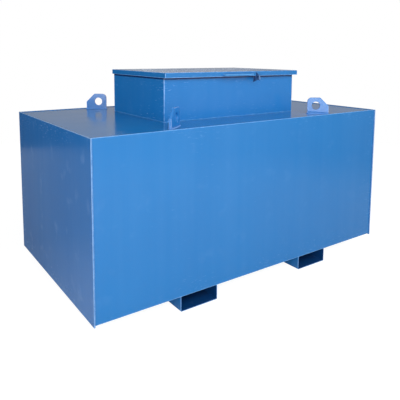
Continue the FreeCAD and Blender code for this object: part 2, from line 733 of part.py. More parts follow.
def make_line(name):
    """Pipe, shut-off valve and blanking plug of one oil line, with its can in the tank."""
    x = LINE_PLACES[name]
    can_radius = END_CAN_RADII[name]
    can_length = END_CAN_LENGTHS[name]
    can_floor = Vector(x, LINE_Y, FLOOR + END_CAN_FLOORS[name])
    cap = can_radius + END_CAN_CAP
    can = [
        (0, 0),
        (cap, 0),
        (cap, END_CAN_CAP_HEIGHT),
        (can_radius, END_CAN_CAP_HEIGHT),
        (can_radius, can_length - END_CAN_CAP_HEIGHT),
        (cap, can_length - END_CAN_CAP_HEIGHT),
        (cap, can_length),
        (0, can_length),
    ]
    can_names = {"suction": "suction_strainer", "return": "return_diffuser"}
    pieces[can_names[name]] = turned(can, can_floor, UP)
    points = [
        can_floor + UP * can_length,
        Vector(x, LINE_Y, LINE_Z),
        Vector(x, LINE_Y - PIPE_RUN, LINE_Z),
    ]
    pipe = bent_rod(points, PIPE_BEND, PIPE_RADIUS)
    collar = rod(PIPE_COLLAR, Vector(x, LINE_Y, DECK), UP, PIPE_COLLAR_HEIGHT)
    hollow = bent_rod(points, PIPE_BEND, PIPE_RADIUS - PIPE_WALL)
    pieces[name + "_pipe"] = pipe.fuse(collar).cut(hollow).removeSplitter()
    make_valve(name, points[-1])


def make_valve(name, inlet):
    """Ball valve at the end of a level pipe, shut, with its lever across the line."""
    centre = inlet + FRONT * (VALVE_LENGTH / 2)
    outlet = inlet + FRONT * VALVE_LENGTH
    neck = (VALVE_END + VALVE_BORE) / 2 + 2
    near = VALVE_END_LENGTH
    far = VALVE_LENGTH - VALVE_END_LENGTH
    shoulder = VALVE_LENGTH / 2 - VALVE_BULGE
    profile = [
        (0, 0),
        (VALVE_END, 0),
        (VALVE_END, near),
        (neck, near),
        (VALVE_BULGE, shoulder + VALVE_BULGE / 2),
        (VALVE_BULGE, VALVE_LENGTH - shoulder - VALVE_BULGE / 2),
        (neck, far),
        (VALVE_END, far),
        (VALVE_END, VALVE_LENGTH),
        (0, VALVE_LENGTH),
    ]
    body = turned(profile, inlet, FRONT)
    body = body.fuse(rod(GLAND_RADIUS, centre, UP, GLAND_RISE))
    body = body.cut(rod(VALVE_BORE, inlet, FRONT, VALVE_LENGTH))
    height = BALL_RADIUS * math.sin(BALL_CUT) + RUNNING_GAP
    body = body.cut(rod(BALL_RADIUS + RUNNING_GAP, centre - UP * height, UP, 2 * height))
    body = body.cut(rod(STEM_RADIUS + RUNNING_GAP, centre, UP, GLAND_RISE))
    pieces[name + "_valve_body"] = body
    lever_base = centre + UP * (GLAND_RISE + CAP_CLEARANCE)
    stem_length = GLAND_RISE + CAP_CLEARANCE + LEVER_PLATE + NUT_HEIGHT
    bore_start = centre - RIGHT * BALL_RADIUS
    turns = [BALL_CUT * (2 * step / BALL_BANDS - 1) for step in range(BALL_BANDS + 1)]
    ball_side = [(BALL_RADIUS * math.cos(t), BALL_RADIUS * math.sin(t)) for t in turns]
    ball = turned([(0, ball_side[0][1])] + ball_side + [(0, ball_side[-1][1])], centre, UP)
    ball = ball.cut(rod(VALVE_BORE, bore_start, RIGHT, 2 * BALL_RADIUS))
    stem_start = ball_side[-1][1] - BALL_WALL
    stem = rod(STEM_RADIUS, centre + UP * stem_start, UP, stem_length - stem_start)
    pieces[name + "_valve_ball"] = ball.fuse(stem).removeSplitter()
    pieces[name + "_valve_lever"] = make_lever(lever_base)
    nut_base = lever_base + UP * LEVER_PLATE
    nut = hexagon(NUT_FLATS, nut_base, UP, NUT_HEIGHT)
    stem_hole = rod(STEM_RADIUS + RUNNING_GAP, nut_base, UP, NUT_HEIGHT)
    pieces[name + "_valve_nut"] = nut.cut(stem_hole)
    flange = rod(PLUG_FLANGE, outlet, FRONT, PLUG_FLANGE_HEIGHT)
    head_start = outlet + FRONT * PLUG_FLANGE_HEIGHT
    head = hexagon(PLUG_FLATS, head_start, FRONT, PLUG_HEX_HEIGHT)
    pieces[name + "_plug"] = flange.fuse(head).removeSplitter()


def make_lever(base):
    """Return a cranked flat lever that points to the left from its stem."""
    rise = LEVER_CRANK
    plate = LEVER_PLATE
    half = LEVER_WIDTH / 2
    side = [
        (0, 0),
        (LEVER_CRANK_START, 0),
        (LEVER_CRANK_END, rise),
        (LEVER_LENGTH - half, rise),
        (LEVER_LENGTH - half, rise + plate),
        (LEVER_CRANK_END - plate / 2, rise + plate),
        (LEVER_CRANK_START - plate / 2, plate),
        (0, plate),
    ]
    bar = prism([base + Vector(-a, -half, b) for a, b in side], Vector(0, LEVER_WIDTH, 0))
    boss = rod(GLAND_RADIUS, base, UP, plate)
    tip = rod(half, base + Vector(half - LEVER_LENGTH, 0, rise), UP, plate)
    lever = bar.fuse([boss, tip])
    return lever.cut(rod(STEM_RADIUS + RUNNING_GAP, base, UP, plate)).removeSplitter()


def make_gauge():
    """Dial gauge on the deck, driven through bevel gears by a float on an arm."""
    base = Vector(GAUGE_X, GAUGE_Y, DECK)
    lens_rise = GAUGE_LEDGE_RISE
    shaft_bore = GAUGE_SHAFT + RUNNING_GAP
    lens_bore = GAUGE_LENS + GAUGE_LENS_GAP
    housing = [
        (shaft_bore, 0),
        (GAUGE_FLANGE, 0),
        (GAUGE_FLANGE, GAUGE_FLANGE_HEIGHT),
        (GAUGE_BODY, GAUGE_FLANGE_HEIGHT),
        (GAUGE_BODY, GAUGE_HEIGHT),
        (lens_bore, GAUGE_HEIGHT),
        (lens_bore, lens_rise),
        (GAUGE_LEDGE, lens_rise),
        (GAUGE_LEDGE, GAUGE_FLOOR),
        (shaft_bore, GAUGE_FLOOR),
    ]
    pieces["gauge_housing"] = turned(housing, base, UP)
    dial_start = base + UP * GAUGE_FLOOR
    dial_bore = GAUGE_SHAFT + CAP_CLEARANCE
    pieces["gauge_dial"] = ring(GAUGE_DIAL, dial_bore, dial_start, UP, GAUGE_DIAL_PLATE)
    pieces["gauge_lens"] = rod(GAUGE_LENS, base + UP * lens_rise, UP, GAUGE_LENS_PLATE)
    make_gauge_frame(base, shaft_bore)
    make_gauge_pointer(base)
    make_float_arm()


def make_gauge_frame(base, shaft_bore):
    """Stem tube under the deck, with a forked bracket that holds the arm's axle."""
    stem_end = base + DOWN * GAUGE_STEM_LENGTH
    stem = ring(GAUGE_STEM, GAUGE_STEM - GAUGE_STEM_WALL, stem_end, UP, GAUGE_STEM_LENGTH)
    y = (GAUGE_Y - CHEEK_HALF_WIDTH, GAUGE_Y + CHEEK_HALF_WIDTH)
    left = GAUGE_X - CHEEK_LEFT
    right = GAUGE_X + CHEEK_RIGHT
    web = block((left, right), y, (stem_end.z - CHEEK_WEB, stem_end.z))
    web = web.cut(rod(shaft_bore, stem_end, DOWN, CHEEK_WEB))
    cheek_height = (AXLE_Z - CHEEK_END, stem_end.z)
    left_cheek = block((left, left + CHEEK_PLATE), y, cheek_height)
    right_cheek = block((right - CHEEK_PLATE, right), y, cheek_height)
    axle = rod(AXLE_RADIUS, Vector(left, GAUGE_Y, AXLE_Z), RIGHT, right - left)
    frame = stem.fuse([web, left_cheek, right_cheek, axle])
    pieces["gauge_frame"] = frame.removeSplitter()


def back_cone(pitch, depth, offset):
    """Return the (radius, height) of a point that lies out from a bevel gear's pitch circle."""
    slant = math.hypot(pitch, depth)
    return (pitch + offset * depth / slant, depth - offset * pitch / slant)


def bevel_rim(pitch, depth):
    """Return a bevel gear's inner root, outer root and rim as (radius, height) points."""
    root = back_cone(pitch, depth, -TOOTH_ROOT)
    rim = back_cone(pitch, depth, -TOOTH_ROOT - GEAR_RIM)
    inner = 1 - GEAR_FACE
    return [(root[0] * inner, root[1] * inner), root, rim]


def bevel_teeth(apex, axis, towards, pitch, depth, count, turn):
    """Return straight bevel teeth that taper to the apex.

    The pitch circle stands at depth along the axis, and a tooth faces the given direction
    once it is turned on by the given angle in degrees.
    """
    side = axis.cross(towards)
    outline = []
    for offset in (-TOOTH_ROOT - TOOTH_SINK, TOOTH_TIP):
        thickness = math.pi * pitch / count - TOOTH_PLAY
        half = side * (thickness / 2 - offset * math.tan(TOOTH_FLANK))
        radius, height = back_cone(pitch, depth, offset)
        middle = axis * height + towards * radius
        outline += [middle - half, middle + half] if offset < 0 else [middle + half, middle - half]
    ends = []
    for scale in (1 - TOOTH_LEDGE, 1 - GEAR_FACE + TOOTH_LEDGE):
        corners = [apex + point * scale for point in outline]
        ends.append(Part.makePolygon(corners + [corners[0]]))
    tooth = Part.makeLoft(ends, True, True)
    teeth = []
    for number in range(count):
        copy = tooth.copy()
        copy.rotate(apex, axis, turn + 360 * number / count)
        teeth.append(copy)
    return teeth


def make_gauge_pointer(base):
    """Pointer on a long shaft with the bevel pinion at its lower end."""
    rim = bevel_rim(PINION_PITCH, GEAR_PITCH)
    back = GEAR_PITCH + AXLE_RADIUS
    apex = Vector(GAUGE_X, GAUGE_Y, AXLE_Z)
    profile = [(0, rim[0][1])] + rim + [
        (GAUGE_SHAFT * 2, back),
        (GAUGE_SHAFT, back),
        (GAUGE_SHAFT, base.z + GAUGE_FLOOR + GAUGE_DIAL_PLATE + POINTER_LIFT - AXLE_Z),
        (0, base.z + GAUGE_FLOOR + GAUGE_DIAL_PLATE + POINTER_LIFT - AXLE_Z),
    ]
    half_pitch = 180 / PINION_TEETH
    teeth = bevel_teeth(
        apex, UP, RIGHT, PINION_PITCH, GEAR_PITCH, PINION_TEETH, half_pitch
    )
    shaft = turned(profile, apex, UP).fuse(teeth)
    blade_z = base.z + GAUGE_FLOOR + GAUGE_DIAL_PLATE + POINTER_LIFT - POINTER_PLATE
    outline = [
        Vector(-POINTER_LENGTH, 0, 0),
        Vector(0, -POINTER_WIDTH, 0),
        Vector(POINTER_LENGTH / 3, -POINTER_WIDTH, 0),
        Vector(POINTER_LENGTH / 3, POINTER_WIDTH, 0),
        Vector(0, POINTER_WIDTH, 0),
    ]
    centre = Vector(GAUGE_X, GAUGE_Y, blade_z)
    blade = prism([centre + point for point in outline], UP * POINTER_PLATE)
    pieces["gauge_pointer"] = shaft.fuse(blade).removeSplitter()


def make_float_arm():
    """Float on a rod, hanging at its lowest, with the bevel gear on its hub."""
    rim = bevel_rim(GEAR_PITCH, PINION_PITCH)
    start = rim[0][1]
    bore = AXLE_RADIUS + RUNNING_GAP
    profile = [(bore, start)] + rim + [
        (HUB_RADIUS, PINION_PITCH + HUB_RADIUS),
        (HUB_RADIUS, start + HUB_LENGTH),
        (bore, start + HUB_LENGTH),
    ]
    axis = Vector(GAUGE_X, GAUGE_Y, AXLE_Z)
    teeth = bevel_teeth(axis, RIGHT, UP, GEAR_PITCH, PINION_PITCH, GEAR_TEETH, 0)
    hub = turned(profile, axis, RIGHT).fuse(teeth)
    dip = math.radians(ARM_DIP)
    along = Vector(0, math.cos(dip), -math.sin(dip))
    arm_x = Vector(start + HUB_LENGTH - HUB_RADIUS, 0, 0)
    root = axis + arm_x + along * (bore + ARM_RADIUS / 4)
    float_centre = axis + arm_x + along * ARM_LENGTH
    reach = ARM_LENGTH - FLOAT_RADIUS - bore - ARM_RADIUS / 4
    arm = rod(ARM_RADIUS, root, along, reach)
    pieces["float_arm"] = hub.fuse(arm).cut(rod(bore, axis, RIGHT, HUB_LENGTH * 2)).removeSplitter()
    shoulder = FLOAT_RADIUS - FLOAT_BEND
    can = [
        (0, 0),
        (shoulder, 0),
        (FLOAT_RADIUS, FLOAT_BEND),
        (FLOAT_RADIUS, FLOAT_LENGTH - FLOAT_BEND),
        (shoulder, FLOAT_LENGTH),
        (0, FLOAT_LENGTH),
    ]
    pieces["float"] = turned(can, float_centre - RIGHT * (FLOAT_LENGTH / 2), RIGHT)


def main():
    """Build every piece and write one STEP file for each."""
    make_end_plates()
    make_walls()
    make_top_plate()
    make_baffles()
    make_fork_pockets()
    make_lifting_lugs()
    make_service_box()
    make_lid()
    make_handle()
    make_padlock_ears()
    make_hinges()
    make_manhole()
    make_filler()
    make_breather()
    for name in LINE_PLACES:
        make_line(name)
    make_gauge()
    os.makedirs("parts", exist_ok=True)
    for name, shape in pieces.items():
        shape.exportStep(os.path.join("parts", name + ".step"))
        print(name, len(shape.Solids), shape.isValid(), round(shape.Volume))
    print("nodes", len(pieces))


main()
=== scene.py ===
"""Looks of a welded steel hydraulic reservoir, built around its fixed frame of solid pieces.

Metres, +Z up, +X along the tank, -Y at its front: the same frame as the solids.
"""

import logging
import math
from abc import ABC, abstractmethod
from dataclasses import dataclass, field
from enum import Enum
from typing import Any, Sequence

import bmesh
import bpy
from mathutils import Matrix, Vector


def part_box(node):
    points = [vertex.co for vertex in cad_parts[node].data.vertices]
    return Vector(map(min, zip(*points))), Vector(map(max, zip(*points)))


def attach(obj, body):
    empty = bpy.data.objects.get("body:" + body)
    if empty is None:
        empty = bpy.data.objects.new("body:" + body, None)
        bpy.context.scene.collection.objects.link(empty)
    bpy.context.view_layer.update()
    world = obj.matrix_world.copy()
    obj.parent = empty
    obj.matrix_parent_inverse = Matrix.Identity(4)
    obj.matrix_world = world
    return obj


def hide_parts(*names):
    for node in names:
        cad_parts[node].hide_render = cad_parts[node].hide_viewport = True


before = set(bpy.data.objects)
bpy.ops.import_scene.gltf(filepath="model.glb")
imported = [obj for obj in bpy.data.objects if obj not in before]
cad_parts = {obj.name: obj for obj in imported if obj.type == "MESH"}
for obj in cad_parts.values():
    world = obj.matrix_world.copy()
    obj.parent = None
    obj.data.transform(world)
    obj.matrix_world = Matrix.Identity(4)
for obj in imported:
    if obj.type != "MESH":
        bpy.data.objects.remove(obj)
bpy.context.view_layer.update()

LOG = logging.getLogger("reservoir")
Pair = tuple[float, float]
Colour = tuple[float, float, float]
Point = Sequence[float]
Box = tuple[Vector, Vector]
Socket = bpy.types.NodeSocket

UP = Vector((0.0, 0.0, 1.0))
DECK = 0.930  # the deck's upper face
SIDES = ((-1, "left"), (1, "right"))
PROUD = 0.0004  # how far a bead's middle line stands off its corner
RING_PROUD = 0.0005  # the same for a ring on the deck
FULL_TURN = 2.0 * math.pi
WHITE = (1.0, 1.0, 1.0, 1.0)
JOIN_REACH = 0.000005  # vertices of a new piece that lie closer are one
SOLID_JOIN_REACH = 0.00002  # the same for a solid piece
SOLID_CREASE = math.radians(32)  # a solid's edges that bend more are rounded
NEW_CREASE = 0.6  # a new piece's edges that bend more, in radians, are rounded


class Slot(Enum):
    """Material slots of the part's record."""

    BLUE_PAINT = "blue_paint"
    ZINC = "zinc_steel"
    RUBBER = "rubber"
    PLASTIC = "black_plastic"
    DIAL = "dial_face"


class Body(Enum):
    """Moving bodies that pieces ride on."""

    RESERVOIR = "reservoir"
    LID = "lid"
    SUCTION_LEVER = "suction_lever"
    RETURN_LEVER = "return_lever"


class Signal:
    """A shader value that can stand in Python sums, where each sum adds a Math node."""

    def __init__(self, sheet: "ShaderSheet", socket: Socket) -> None:
        """Wrap a socket.

        Args:
            sheet: the node tree that the socket belongs to.
            socket: an output socket that carries one number.
        """
        self.sheet = sheet
        self.socket = socket

    def math(self, operation: str, *operands: "Signal | float") -> "Signal":
        """Add one Math node.

        Args:
            operation: the node's operation.
            operands: its values in order.

        Returns:
            The node's result.
        """
        node = self.sheet.node("ShaderNodeMath", dict(enumerate(operands)), operation=operation)
        return Signal(self.sheet, node.outputs[0])

    def __add__(self, other: "Signal | float") -> "Signal":
        """Sum."""
        return self.math("ADD", self, other)

    def __radd__(self, other: float) -> "Signal":
        """Sum with a plain number first."""
        return self.math("ADD", other, self)

    def __sub__(self, other: "Signal | float") -> "Signal":
        """Difference."""
        return self.math("SUBTRACT", self, other)

    def __rsub__(self, other: float) -> "Signal":
        """Difference from a plain number."""
        return self.math("SUBTRACT", other, self)

    def __mul__(self, other: "Signal | float") -> "Signal":
        """Product."""
        return self.math("MULTIPLY", self, other)

    def __rmul__(self, other: float) -> "Signal":
        """Product with a plain number first."""
        return self.math("MULTIPLY", other, self)

    def __abs__(self) -> "Signal":
        """Distance from zero."""
        return self.math("ABSOLUTE", self)

    def least(self, other: "Signal | float") -> "Signal":
        """Smaller of two values."""
        return self.math("MINIMUM", self, other)

    def most(self, other: "Signal | float") -> "Signal":
        """Larger of two values."""
        return self.math("MAXIMUM", self, other)

    def sine(self) -> "Signal":
        """Sine of an angle in radians."""
        return self.math("SINE", self)

    def root(self) -> "Signal":
        """Square root."""
        return self.math("SQRT", self)

    def ease(self, low: float, high: float) -> "Signal":
        """Smooth step.

        Args:
            low: the value that gives 0.
            high: the value that gives 1, which may be below low.

        Returns:
            A value from 0 to 1.
        """
        flipped = high < low
        ends = {1: min(low, high), 2: max(low, high), 3: float(flipped), 4: float(not flipped)}
        node = self.sheet.node("ShaderNodeMapRange", {0: self, **ends}, interpolation_type="SMOOTHSTEP")
        return Signal(self.sheet, node.outputs[0])


class ShaderSheet:
    """The node tree of one material or of the world."""

    def __init__(self, tree: bpy.types.NodeTree) -> None:
        """Start an empty tree.

        Args:
            tree: the tree, whose nodes are removed.
        """
        self.tree = tree
        tree.nodes.clear()

    def node(self, kind: str, inputs: dict[Any, Any] | None = None, **settings: Any) -> bpy.types.Node:
        """Add one node, with its settings first and its values and links after.

        Args:
            kind: the node's type.
            inputs: a value, socket or signal for each input, by name or number.
            settings: the node's own properties.

        Returns:
            The new node.
        """
        node = self.tree.nodes.new(kind)
        for name, value in settings.items():
            setattr(node, name, value)
        for key, value in (inputs or {}).items():
            source = value.socket if isinstance(value, Signal) else value
            if isinstance(source, Socket):
                self.tree.links.new(source, node.inputs[key])
            else:
                node.inputs[key].default_value = source
        return node

    def places(self) -> Socket:
        """Return the Object coordinates."""
        return self.node("ShaderNodeTexCoord").outputs["Object"]

    def turned_places(self, centre: Vector, turn: float) -> Socket:
        """Return Object coordinates centred on a point and turned about Z.

        Args:
            centre: the point that becomes the origin.
            turn: the piece's own turn in radians, which is taken out.

        Returns:
            The vector socket.
        """
        back = Matrix.Rotation(-turn, 3, "Z") @ (-centre)
        values = {"Vector": self.places(), "Location": back, "Rotation": (0.0, 0.0, -turn)}
        return self.node("ShaderNodeMapping", values, vector_type="POINT").outputs[0]

    def parts(self, vector: Socket) -> list[Signal]:
        """Return a vector's three numbers."""
        split = self.node("ShaderNodeSeparateXYZ", {0: vector})
        return [Signal(self, output) for output in split.outputs]

    def stretched(self, vector: Socket, scale: Point) -> Socket:
        """Return a vector with each part multiplied by its own number."""
        values = {0: vector, 1: tuple(scale)}
        return self.node("ShaderNodeVectorMath", values, operation="MULTIPLY").outputs[0]

    def noise(self, vector: Socket, scale: float, detail: float = 3.0) -> Signal:
        """Return soft noise around 0.5.

        Args:
            vector: the coordinates it reads.
            scale: repeats a metre.
            detail: octaves.

        Returns:
            The noise.
        """
        values = {"Vector": vector, "Scale": scale, "Detail": detail}
        node = self.node("ShaderNodeTexNoise", values, noise_dimensions="3D")
        return Signal(self, node.outputs[0])

    def cells(self, vector: Socket, scale: float) -> Signal:
        """Return a random number for each cell of a crystal-like pattern.

        Args:
            vector: the coordinates it reads.
            scale: cells a metre.

        Returns:
            One value a cell.
        """
        node = self.node("ShaderNodeTexVoronoi", {"Vector": vector, "Scale": scale}, feature="F1")
        grey = self.node("ShaderNodeSeparateColor", {0: node.outputs["Color"]})
        return Signal(self, grey.outputs[0])

    def blend(self, share: Signal, first: Any, second: Any) -> Socket:
        """Mix two colours.

        Args:
            share: how much of the second shows.
            first: a colour or a colour socket.
            second: a colour or a colour socket.

        Returns:
            The mixed colour.
        """
        ends = [c if isinstance(c, Socket) else (*c, 1.0) for c in (first, second)]
        values = {0: share, 6: ends[0], 7: ends[1]}
        return self.node("ShaderNodeMix", values, data_type="RGBA", clamp_factor=True).outputs[2]

    def bump(self, height: Signal, depth: float, below: Any = None) -> Socket:
        """Turn a height into a normal.

        Args:
            height: the height, from 0 to 1.
            depth: how deep 1 is, in metres.
            below: a normal that it lies on.

        Returns:
            The normal.
        """
        values = {"Strength": 1.0, "Distance": depth, "Height": height}
        if below is not None:
            values["Normal"] = below
        return self.node("ShaderNodeBump", values).outputs[0]

    def ray(self, kind: str) -> Signal:
        """Return 1 for one kind of ray, such as "Is Camera Ray", and 0 for the rest."""
        return Signal(self, self.node("ShaderNodeLightPath").outputs[kind])

    def background(self, colour: Any, strength: float) -> bpy.types.Node:
        """Add a world shader of a colour and a strength."""
        return self.node("ShaderNodeBackground", {"Color": colour, "Strength": strength})

    def mixed(self, share: Signal, first: bpy.types.Node, second: bpy.types.Node) -> bpy.types.Node:
        """Mix two shaders, where share is how much of the second shows."""
        return self.node("ShaderNodeMixShader", {0: share, 1: first.outputs[0], 2: second.outputs[0]})

    def finish(self, shader: bpy.types.Node, kind: str = "Material") -> None:
        """End the tree with a shader.

        Args:
            shader: the last shader.
            kind: what the tree belongs to, Material or World.
        """
        self.node(f"ShaderNodeOutput{kind}", {"Surface": shader.outputs[0]})


def new_material(name: str) -> tuple[bpy.types.Material, ShaderSheet]:
    """Return a new material and its empty node tree."""
    material = bpy.data.materials.new(name)
    material.use_nodes = True
    return material, ShaderSheet(material.node_tree)


@dataclass(frozen=True)
class Finish(ABC):
    """What a piece is made or coated with."""

    name: str

    def material(self, label: str, **details: Any) -> bpy.types.Material:
        """Make the finish for one piece.

        Args:
            label: the piece's name.
            details: what else the finish asks for.

        Returns:
            The material.
        """
        material, sheet = new_material(f"{self.name}_{label}")
        sheet.finish(sheet.node("ShaderNodeBsdfPrincipled", self.surface(sheet, **details)))
        return material

    @abstractmethod
    def surface(self, sheet: ShaderSheet) -> dict[str, Any]:
        """Return the value of each of the surface's inputs, made in the material's tree."""


@dataclass(frozen=True)
class Enamel(Finish):
    """Semi-gloss blue enamel sprayed over welded steel plate."""

    name: str = "enamel"
    colour: Colour = (0.007, 0.158, 0.440)
    pale: Colour = (0.20, 0.42, 0.78)  # where it is thin, worn or dry, and the painted highlight along its edges
    deep: Colour = (0.005, 0.130, 0.385)  # where it is thick
    dust_colour: Colour = (0.34, 0.36, 0.38)
    shade: Colour = (0.002, 0.014, 0.085)  # painted shade under the lid's lip and on a channel's inner faces
    gloss: float = 0.15
    edge_width: float = 0.0035  # how far the pale rim, worn coat and painted edge highlight, reaches in
    edge_share: float = 0.75  # how pale the rim of wear and painted edge highlight is
    scuffs: float = 0.16
    scuff_level: float = 0.68  # the noise above which a scratch starts
    haze: float = 0.045  # how pale the dry overspray is
    dust: float = 0.06
    ripple: float = 0.0
    wave: float = 0.0004  # how far a plate is out of flat
    lip_shade: float = 0.0  # how far the painted shade under the lid's lip reaches down from the top
    wall: float = 0.0  # the plate of a channel whose inner faces get painted shade

    def surface(self, sheet: ShaderSheet, box: Box, turn: float = 0.0) -> dict[str, Any]:
        """Return the value of each of the surface's inputs.

        Args:
            sheet: the material's tree.
            box: the piece's lowest and highest corner, before its turn.
            turn: the piece's own turn about Z, in radians.

        Returns:
            The values by name.
        """
        centre = (box[0] + box[1]) / 2
        half = (box[1] - box[0]) / 2
        places = sheet.places()
        own = sheet.turned_places(centre, turn)
        gaps = [half[i] - abs(part) for i, part in enumerate(sheet.parts(own))]
        edge = self.middle(gaps)
        broad = sheet.noise(places, scale=1.7, detail=4.0)
        fine = sheet.noise(places, scale=55.0, detail=4.0)
        # a ragged pale rim along the edges: partly worn coat, partly a painted highlight on the edges
        ragged = edge + (fine - 0.5) * self.edge_width
        rim = ragged.ease(self.edge_width, 0.2 * self.edge_width) * self.edge_share
        scuff = self.scratches(sheet, edge)
        normal = sheet.node("ShaderNodeTexCoord").outputs["Normal"]
        upward = sheet.parts(normal)[2].ease(0.6, 0.95)
        settled = upward * sheet.noise(places, scale=7.0, detail=5.0).ease(0.42, 0.72) * self.dust
        # spraying leaves broad clouds, faint upright bands and a dry haze
        bands = sheet.noise(sheet.stretched(places, (9.0, 9.0, 0.35)), scale=1.6, detail=3.0)
        haze = sheet.noise(places, scale=9.0, detail=6.0).ease(0.56, 0.76) * self.haze
        tone = sheet.blend((broad - 0.5) * 0.9 + 0.2, self.colour, self.deep)
        tone = sheet.blend((bands - 0.5) * 0.07 + 0.02, tone, self.pale)
        tone = sheet.blend(haze, tone, self.pale)
        tone = sheet.blend(rim.most(scuff), tone, self.pale)
        tone = sheet.blend(settled, tone, self.dust_colour)
        # painted shade: a dark band on the walls just under the lid's lip
        if self.lip_shade:
            below_top = half.z - sheet.parts(own)[2]
            painted_lip_shade = (below_top + (fine - 0.5) * 0.003).ease(self.lip_shade, self.lip_shade - 0.005)
            tone = sheet.blend(painted_lip_shade * 0.9, tone, self.shade)
        # painted shade on a channel's inner faces
        if self.wall:
            painted_channel_shade = gaps[0].least(gaps[2]).ease(0.4 * self.wall, 0.8 * self.wall)
            tone = sheet.blend(painted_channel_shade * 0.8, tone, self.shade)
        rough = self.gloss + (broad - 0.5) * 0.06 + scuff * 0.3 + settled * 1.2 + rim * 0.1
        waves = sheet.bump(sheet.noise(places, scale=2.3, detail=1.0), self.wave)
        peel = sheet.bump(sheet.noise(places, scale=260.0, detail=2.0), 0.000006, waves)
        top = sheet.bump(rim.most(scuff), 0.00008, peel)
        if self.ripple:
            top = sheet.bump(sheet.noise(places, scale=160.0, detail=3.0), self.ripple, top)
        return {"Base Color": tone, "Roughness": rough, "Normal": top, "IOR": 1.58}

    def scratches(self, sheet: ShaderSheet, edge: Signal) -> Signal:
        """Return how scratched the coat is, which is more near an edge.

        Args:
            sheet: the material's tree.
            edge: the way to the nearest edge.

        Returns:
            The share of scratches.
        """
        places = sheet.places()
        scratch = sheet.noise(sheet.stretched(places, (30.0, 30.0, 190.0)), scale=1.0, detail=4.0)
        patch = sheet.noise(places, scale=3.1, detail=2.0)
        near_edge = edge.ease(0.16, 0.0) * 0.10
        level = self.scuff_level
        cut = (scratch + near_edge).ease(level, level + 0.08)
        return cut * (patch + near_edge).ease(0.50, 0.64) * self.scuffs

    @staticmethod
    def middle(gaps: Sequence[Signal]) -> Signal:
        """Return the second smallest of three distances, the way to the nearest edge."""
        first, second, third = gaps
        low = first.least(second)
        high = first.most(second)
        return low.most(high.least(third))


@dataclass(frozen=True)
class ZincPlate(Finish):
    """Bright zinc plating with a faint grain and some white bloom."""

    name: str = "zinc"
    colour: Colour = (0.60, 0.60, 0.58)
    tint: Colour = (0.50, 0.52, 0.56)
    stain: Colour = (0.42, 0.40, 0.34)
    bloom: Colour = (0.72, 0.73, 0.72)
    gloss: float = 0.32
    holes: float = 0.0

    def surface(self, sheet: ShaderSheet) -> dict[str, Any]:
        """Return the value of each of the surface's inputs."""
        places = sheet.places()
        grain = sheet.cells(places, scale=240.0)
        cloud = sheet.noise(places, scale=26.0, detail=5.0)
        white = sheet.noise(places, scale=70.0, detail=6.0).ease(0.60, 0.74)
        tone = sheet.blend(grain * 0.7, self.colour, self.tint)
        tone = sheet.blend(cloud.ease(0.4, 0.7) * 0.35, tone, self.stain)
        tone = sheet.blend(white * 0.55, tone, self.bloom)
        rough = self.gloss + (grain - 0.5) * 0.10 + white * 0.3 + cloud * 0.08
        metal = 1.0 - white * 0.5
        relief = sheet.bump(cloud, 0.0002)
        if self.holes:
            steps = sheet.parts(sheet.stretched(places, (1.0 / self.holes,) * 3))
            x, y, z = ((part * FULL_TURN).sine() for part in steps)
            grid = x * z + y * z
            hole = abs(grid).ease(0.45, 0.7)
            # each hole is painted near-black: painted shade for the dark inside seen through it
            tone = sheet.blend(hole, tone, (0.01, 0.01, 0.01))
            relief = sheet.bump(1.0 - hole, 0.0008, relief)
            metal = metal * (1.0 - hole)
        return {"Base Color": tone, "Roughness": rough, "Metallic": metal, "Normal": relief}


@dataclass(frozen=True)
class DullCoat(Finish):
    """A matt or satin coat such as rubber, moulded plastic or vinyl."""

    colour: Colour
    worn: Colour
    gloss: float
    grain: float
    grain_depth: float
    bloom_share: float

    def surface(self, sheet: ShaderSheet) -> dict[str, Any]:
        """Return the value of each of the surface's inputs."""
        places = sheet.places()
        cloud = sheet.noise(places, scale=18.0, detail=5.0)
        fine = sheet.noise(places, self.grain)
        scratch = sheet.noise(sheet.stretched(places, (60.0, 60.0, 420.0)), scale=1.0)
        mark = scratch.ease(0.66, 0.74) * cloud.ease(0.4, 0.6) * 0.5
        tone = sheet.blend(cloud.ease(0.35, 0.75) * self.bloom_share, self.colour, self.worn)
        tone = sheet.blend(mark, tone, self.worn)
        rough = self.gloss + (cloud - 0.5) * 0.16 + mark * 0.2
        return {"Base Color": tone, "Roughness": rough, "Normal": sheet.bump(fine, self.grain_depth)}


@dataclass(frozen=True)
class BareMetal(Finish):
    """Cast, turned or polished metal without paint."""

    colour: Colour
    tarnish: Colour
    gloss: float
    pits: float
    pit_depth: float
    tarnish_share: float
    turned: float = 0.0

    def surface(self, sheet: ShaderSheet, axis: Point = (0.0, 0.0, 0.0)) -> dict[str, Any]:
        """Return the value of each of the surface's inputs.

        Args:
            sheet: the material's tree.
            axis: a point on the upright axis that turning marks run round.

        Returns:
            The values by name.
        """
        places = sheet.places()
        cloud = sheet.noise(places, scale=32.0, detail=6.0)
        pits = sheet.noise(places, self.pits, detail=4.0)
        spots = pits.ease(0.62, 0.72)
        tone = sheet.blend(cloud.ease(0.38, 0.72) * self.tarnish_share, self.colour, self.tarnish)
        tone = sheet.blend(spots * 0.4, tone, self.tarnish)
        rough = self.gloss + (cloud - 0.45) * 0.22 + spots * 0.15
        relief = sheet.bump(pits, self.pit_depth)
        if self.turned:
            x, y, _ = sheet.parts(sheet.turned_places(Vector(axis), 0.0))
            radius = (x * x + y * y).root()
            relief = sheet.bump((radius * self.turned).sine(), 0.00004, relief)
        return {"Base Color": tone, "Roughness": rough, "Metallic": 1.0, "Normal": relief}


